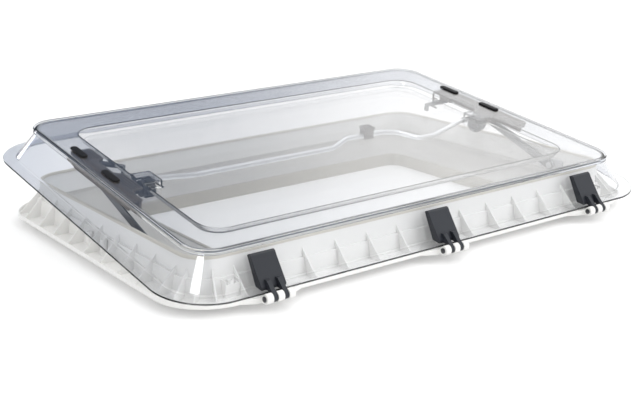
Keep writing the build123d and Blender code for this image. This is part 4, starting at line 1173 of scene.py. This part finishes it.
def photo_camera(kit):
    """The camera at the photo's place, looking at its target."""
    right, up, back = camera_axes(kit)
    lens = bpy.data.cameras.new("photo_camera")
    lens.sensor_width, lens.lens = 36.0, kit.lens
    camera = bpy.data.objects.new("photo_camera", lens)
    camera.matrix_world = Matrix.Translation(Vector(TARGET) + back * kit.distance) @ Matrix(
        (right, up, back)).transposed().to_4x4()
    bpy.context.scene.collection.objects.link(camera)
    return camera


def paper_floor():
    """A wide disc under the skirt, which glows a little so that shadows stay soft."""
    disc = unit_circle(96) * FLOOR_R
    mesh = bpy.data.meshes.new("floor")
    mesh.from_pydata((level(disc, -SKIRT_DEPTH) * MM).tolist(), [], [list(range(96))])
    paper = plastic("floor_paper", (0.80, 0.80, 0.80), (0.79, 0.79, 0.79), 0.75, 1.5, 0.02)
    feed(paper.node_tree, paper.node_tree.nodes["Principled BSDF"],
         Emission_Color=(1.0, 1.0, 1.0, 1.0), Emission_Strength=0.19)
    mesh.materials.append(paper)
    floor = bpy.data.objects.new("floor", mesh)
    bpy.context.scene.collection.objects.link(floor)
    return floor


class ROOFWINDOW_OT_stage(bpy.types.Operator):
    """Make the floor, the light tent, the lamps and the camera"""
    bl_idname = "roofwindow.stage"
    bl_label = "Stage"

    def execute(self, context):
        scene = context.scene
        kit = scene.roof_window_stage
        scene.camera = photo_camera(kit)
        scene.view_settings.view_transform = "Standard"
        paper_floor()
        world = bpy.data.worlds.new("light_tent")
        scene.world = world
        world.use_nodes = True
        light_tent(world.node_tree, kit)
        soft_sun("key_lamp", (0.3, 0.3, 3.0), 70, 0.74, True)
        soft_sun("fill_lamp", (1.6, -2.4, 2.0), 50, 1.35, False)
        return {"FINISHED"}


class ROOFWINDOW_OT_fittings(bpy.types.Operator):
    """Give every fitting that stays as drawn its finish"""
    bl_idname = "roofwindow.fittings"
    bl_label = "Other fittings"

    def execute(self, context):
        slots = {row["node"]: row["material_slot"] for row in frame["record"]["subparts"]}
        for name, node in frame["nodes"].items():
            if not node.hide_render:
                node.data.materials.clear()
                node.data.materials.append(finish_of(slots[name]))
        return {"FINISHED"}


STEPS = (
    ROOFWINDOW_OT_stage, ROOFWINDOW_OT_frame, ROOFWINDOW_OT_seal, ROOFWINDOW_OT_liner,
    ROOFWINDOW_OT_outer_pane, ROOFWINDOW_OT_inner_pane, ROOFWINDOW_OT_hinges,
    ROOFWINDOW_OT_brackets, ROOFWINDOW_OT_arms, ROOFWINDOW_OT_bow, ROOFWINDOW_OT_fittings,
)


class ROOFWINDOW_PT_sidebar(bpy.types.Panel):
    """Settings and steps of the roof window"""
    bl_idname = "ROOFWINDOW_PT_sidebar"
    bl_label = "Roof Window"
    bl_space_type = "VIEW_3D"
    bl_region_type = "UI"
    bl_category = "Roof Window"

    def draw(self, context):
        for kit in (context.scene.roof_window_panes, context.scene.roof_window_frame,
                    context.scene.roof_window_stage):
            box = self.layout.box()
            for name in kit.__annotations__:
                box.prop(kit, name)
        column = self.layout.column(align=True)
        for step in STEPS:
            column.operator(step.bl_idname)


SETTINGS = {"roof_window_panes": RoofWindowPanes, "roof_window_frame": RoofWindowFrame,
            "roof_window_stage": RoofWindowStage}


def register():
    """Register the settings, the operators and the panel, and give each scene its settings."""
    for kind in (*SETTINGS.values(), *STEPS, ROOFWINDOW_PT_sidebar):
        bpy.utils.register_class(kind)
    for name, kind in SETTINGS.items():
        setattr(bpy.types.Scene, name, PointerProperty(type=kind))


def unregister():
    """Take away what register added, in the opposite order."""
    for name in SETTINGS:
        delattr(bpy.types.Scene, name)
    for kind in (ROOFWINDOW_PT_sidebar, *reversed(STEPS), *SETTINGS.values()):
        bpy.utils.unregister_class(kind)


def main():
    """Build the window step by step."""
    register()
    for step in STEPS:
        area, name = step.bl_idname.split(".")
        getattr(getattr(bpy.ops, area), name)()


if __name__ == "__main__":
    main()
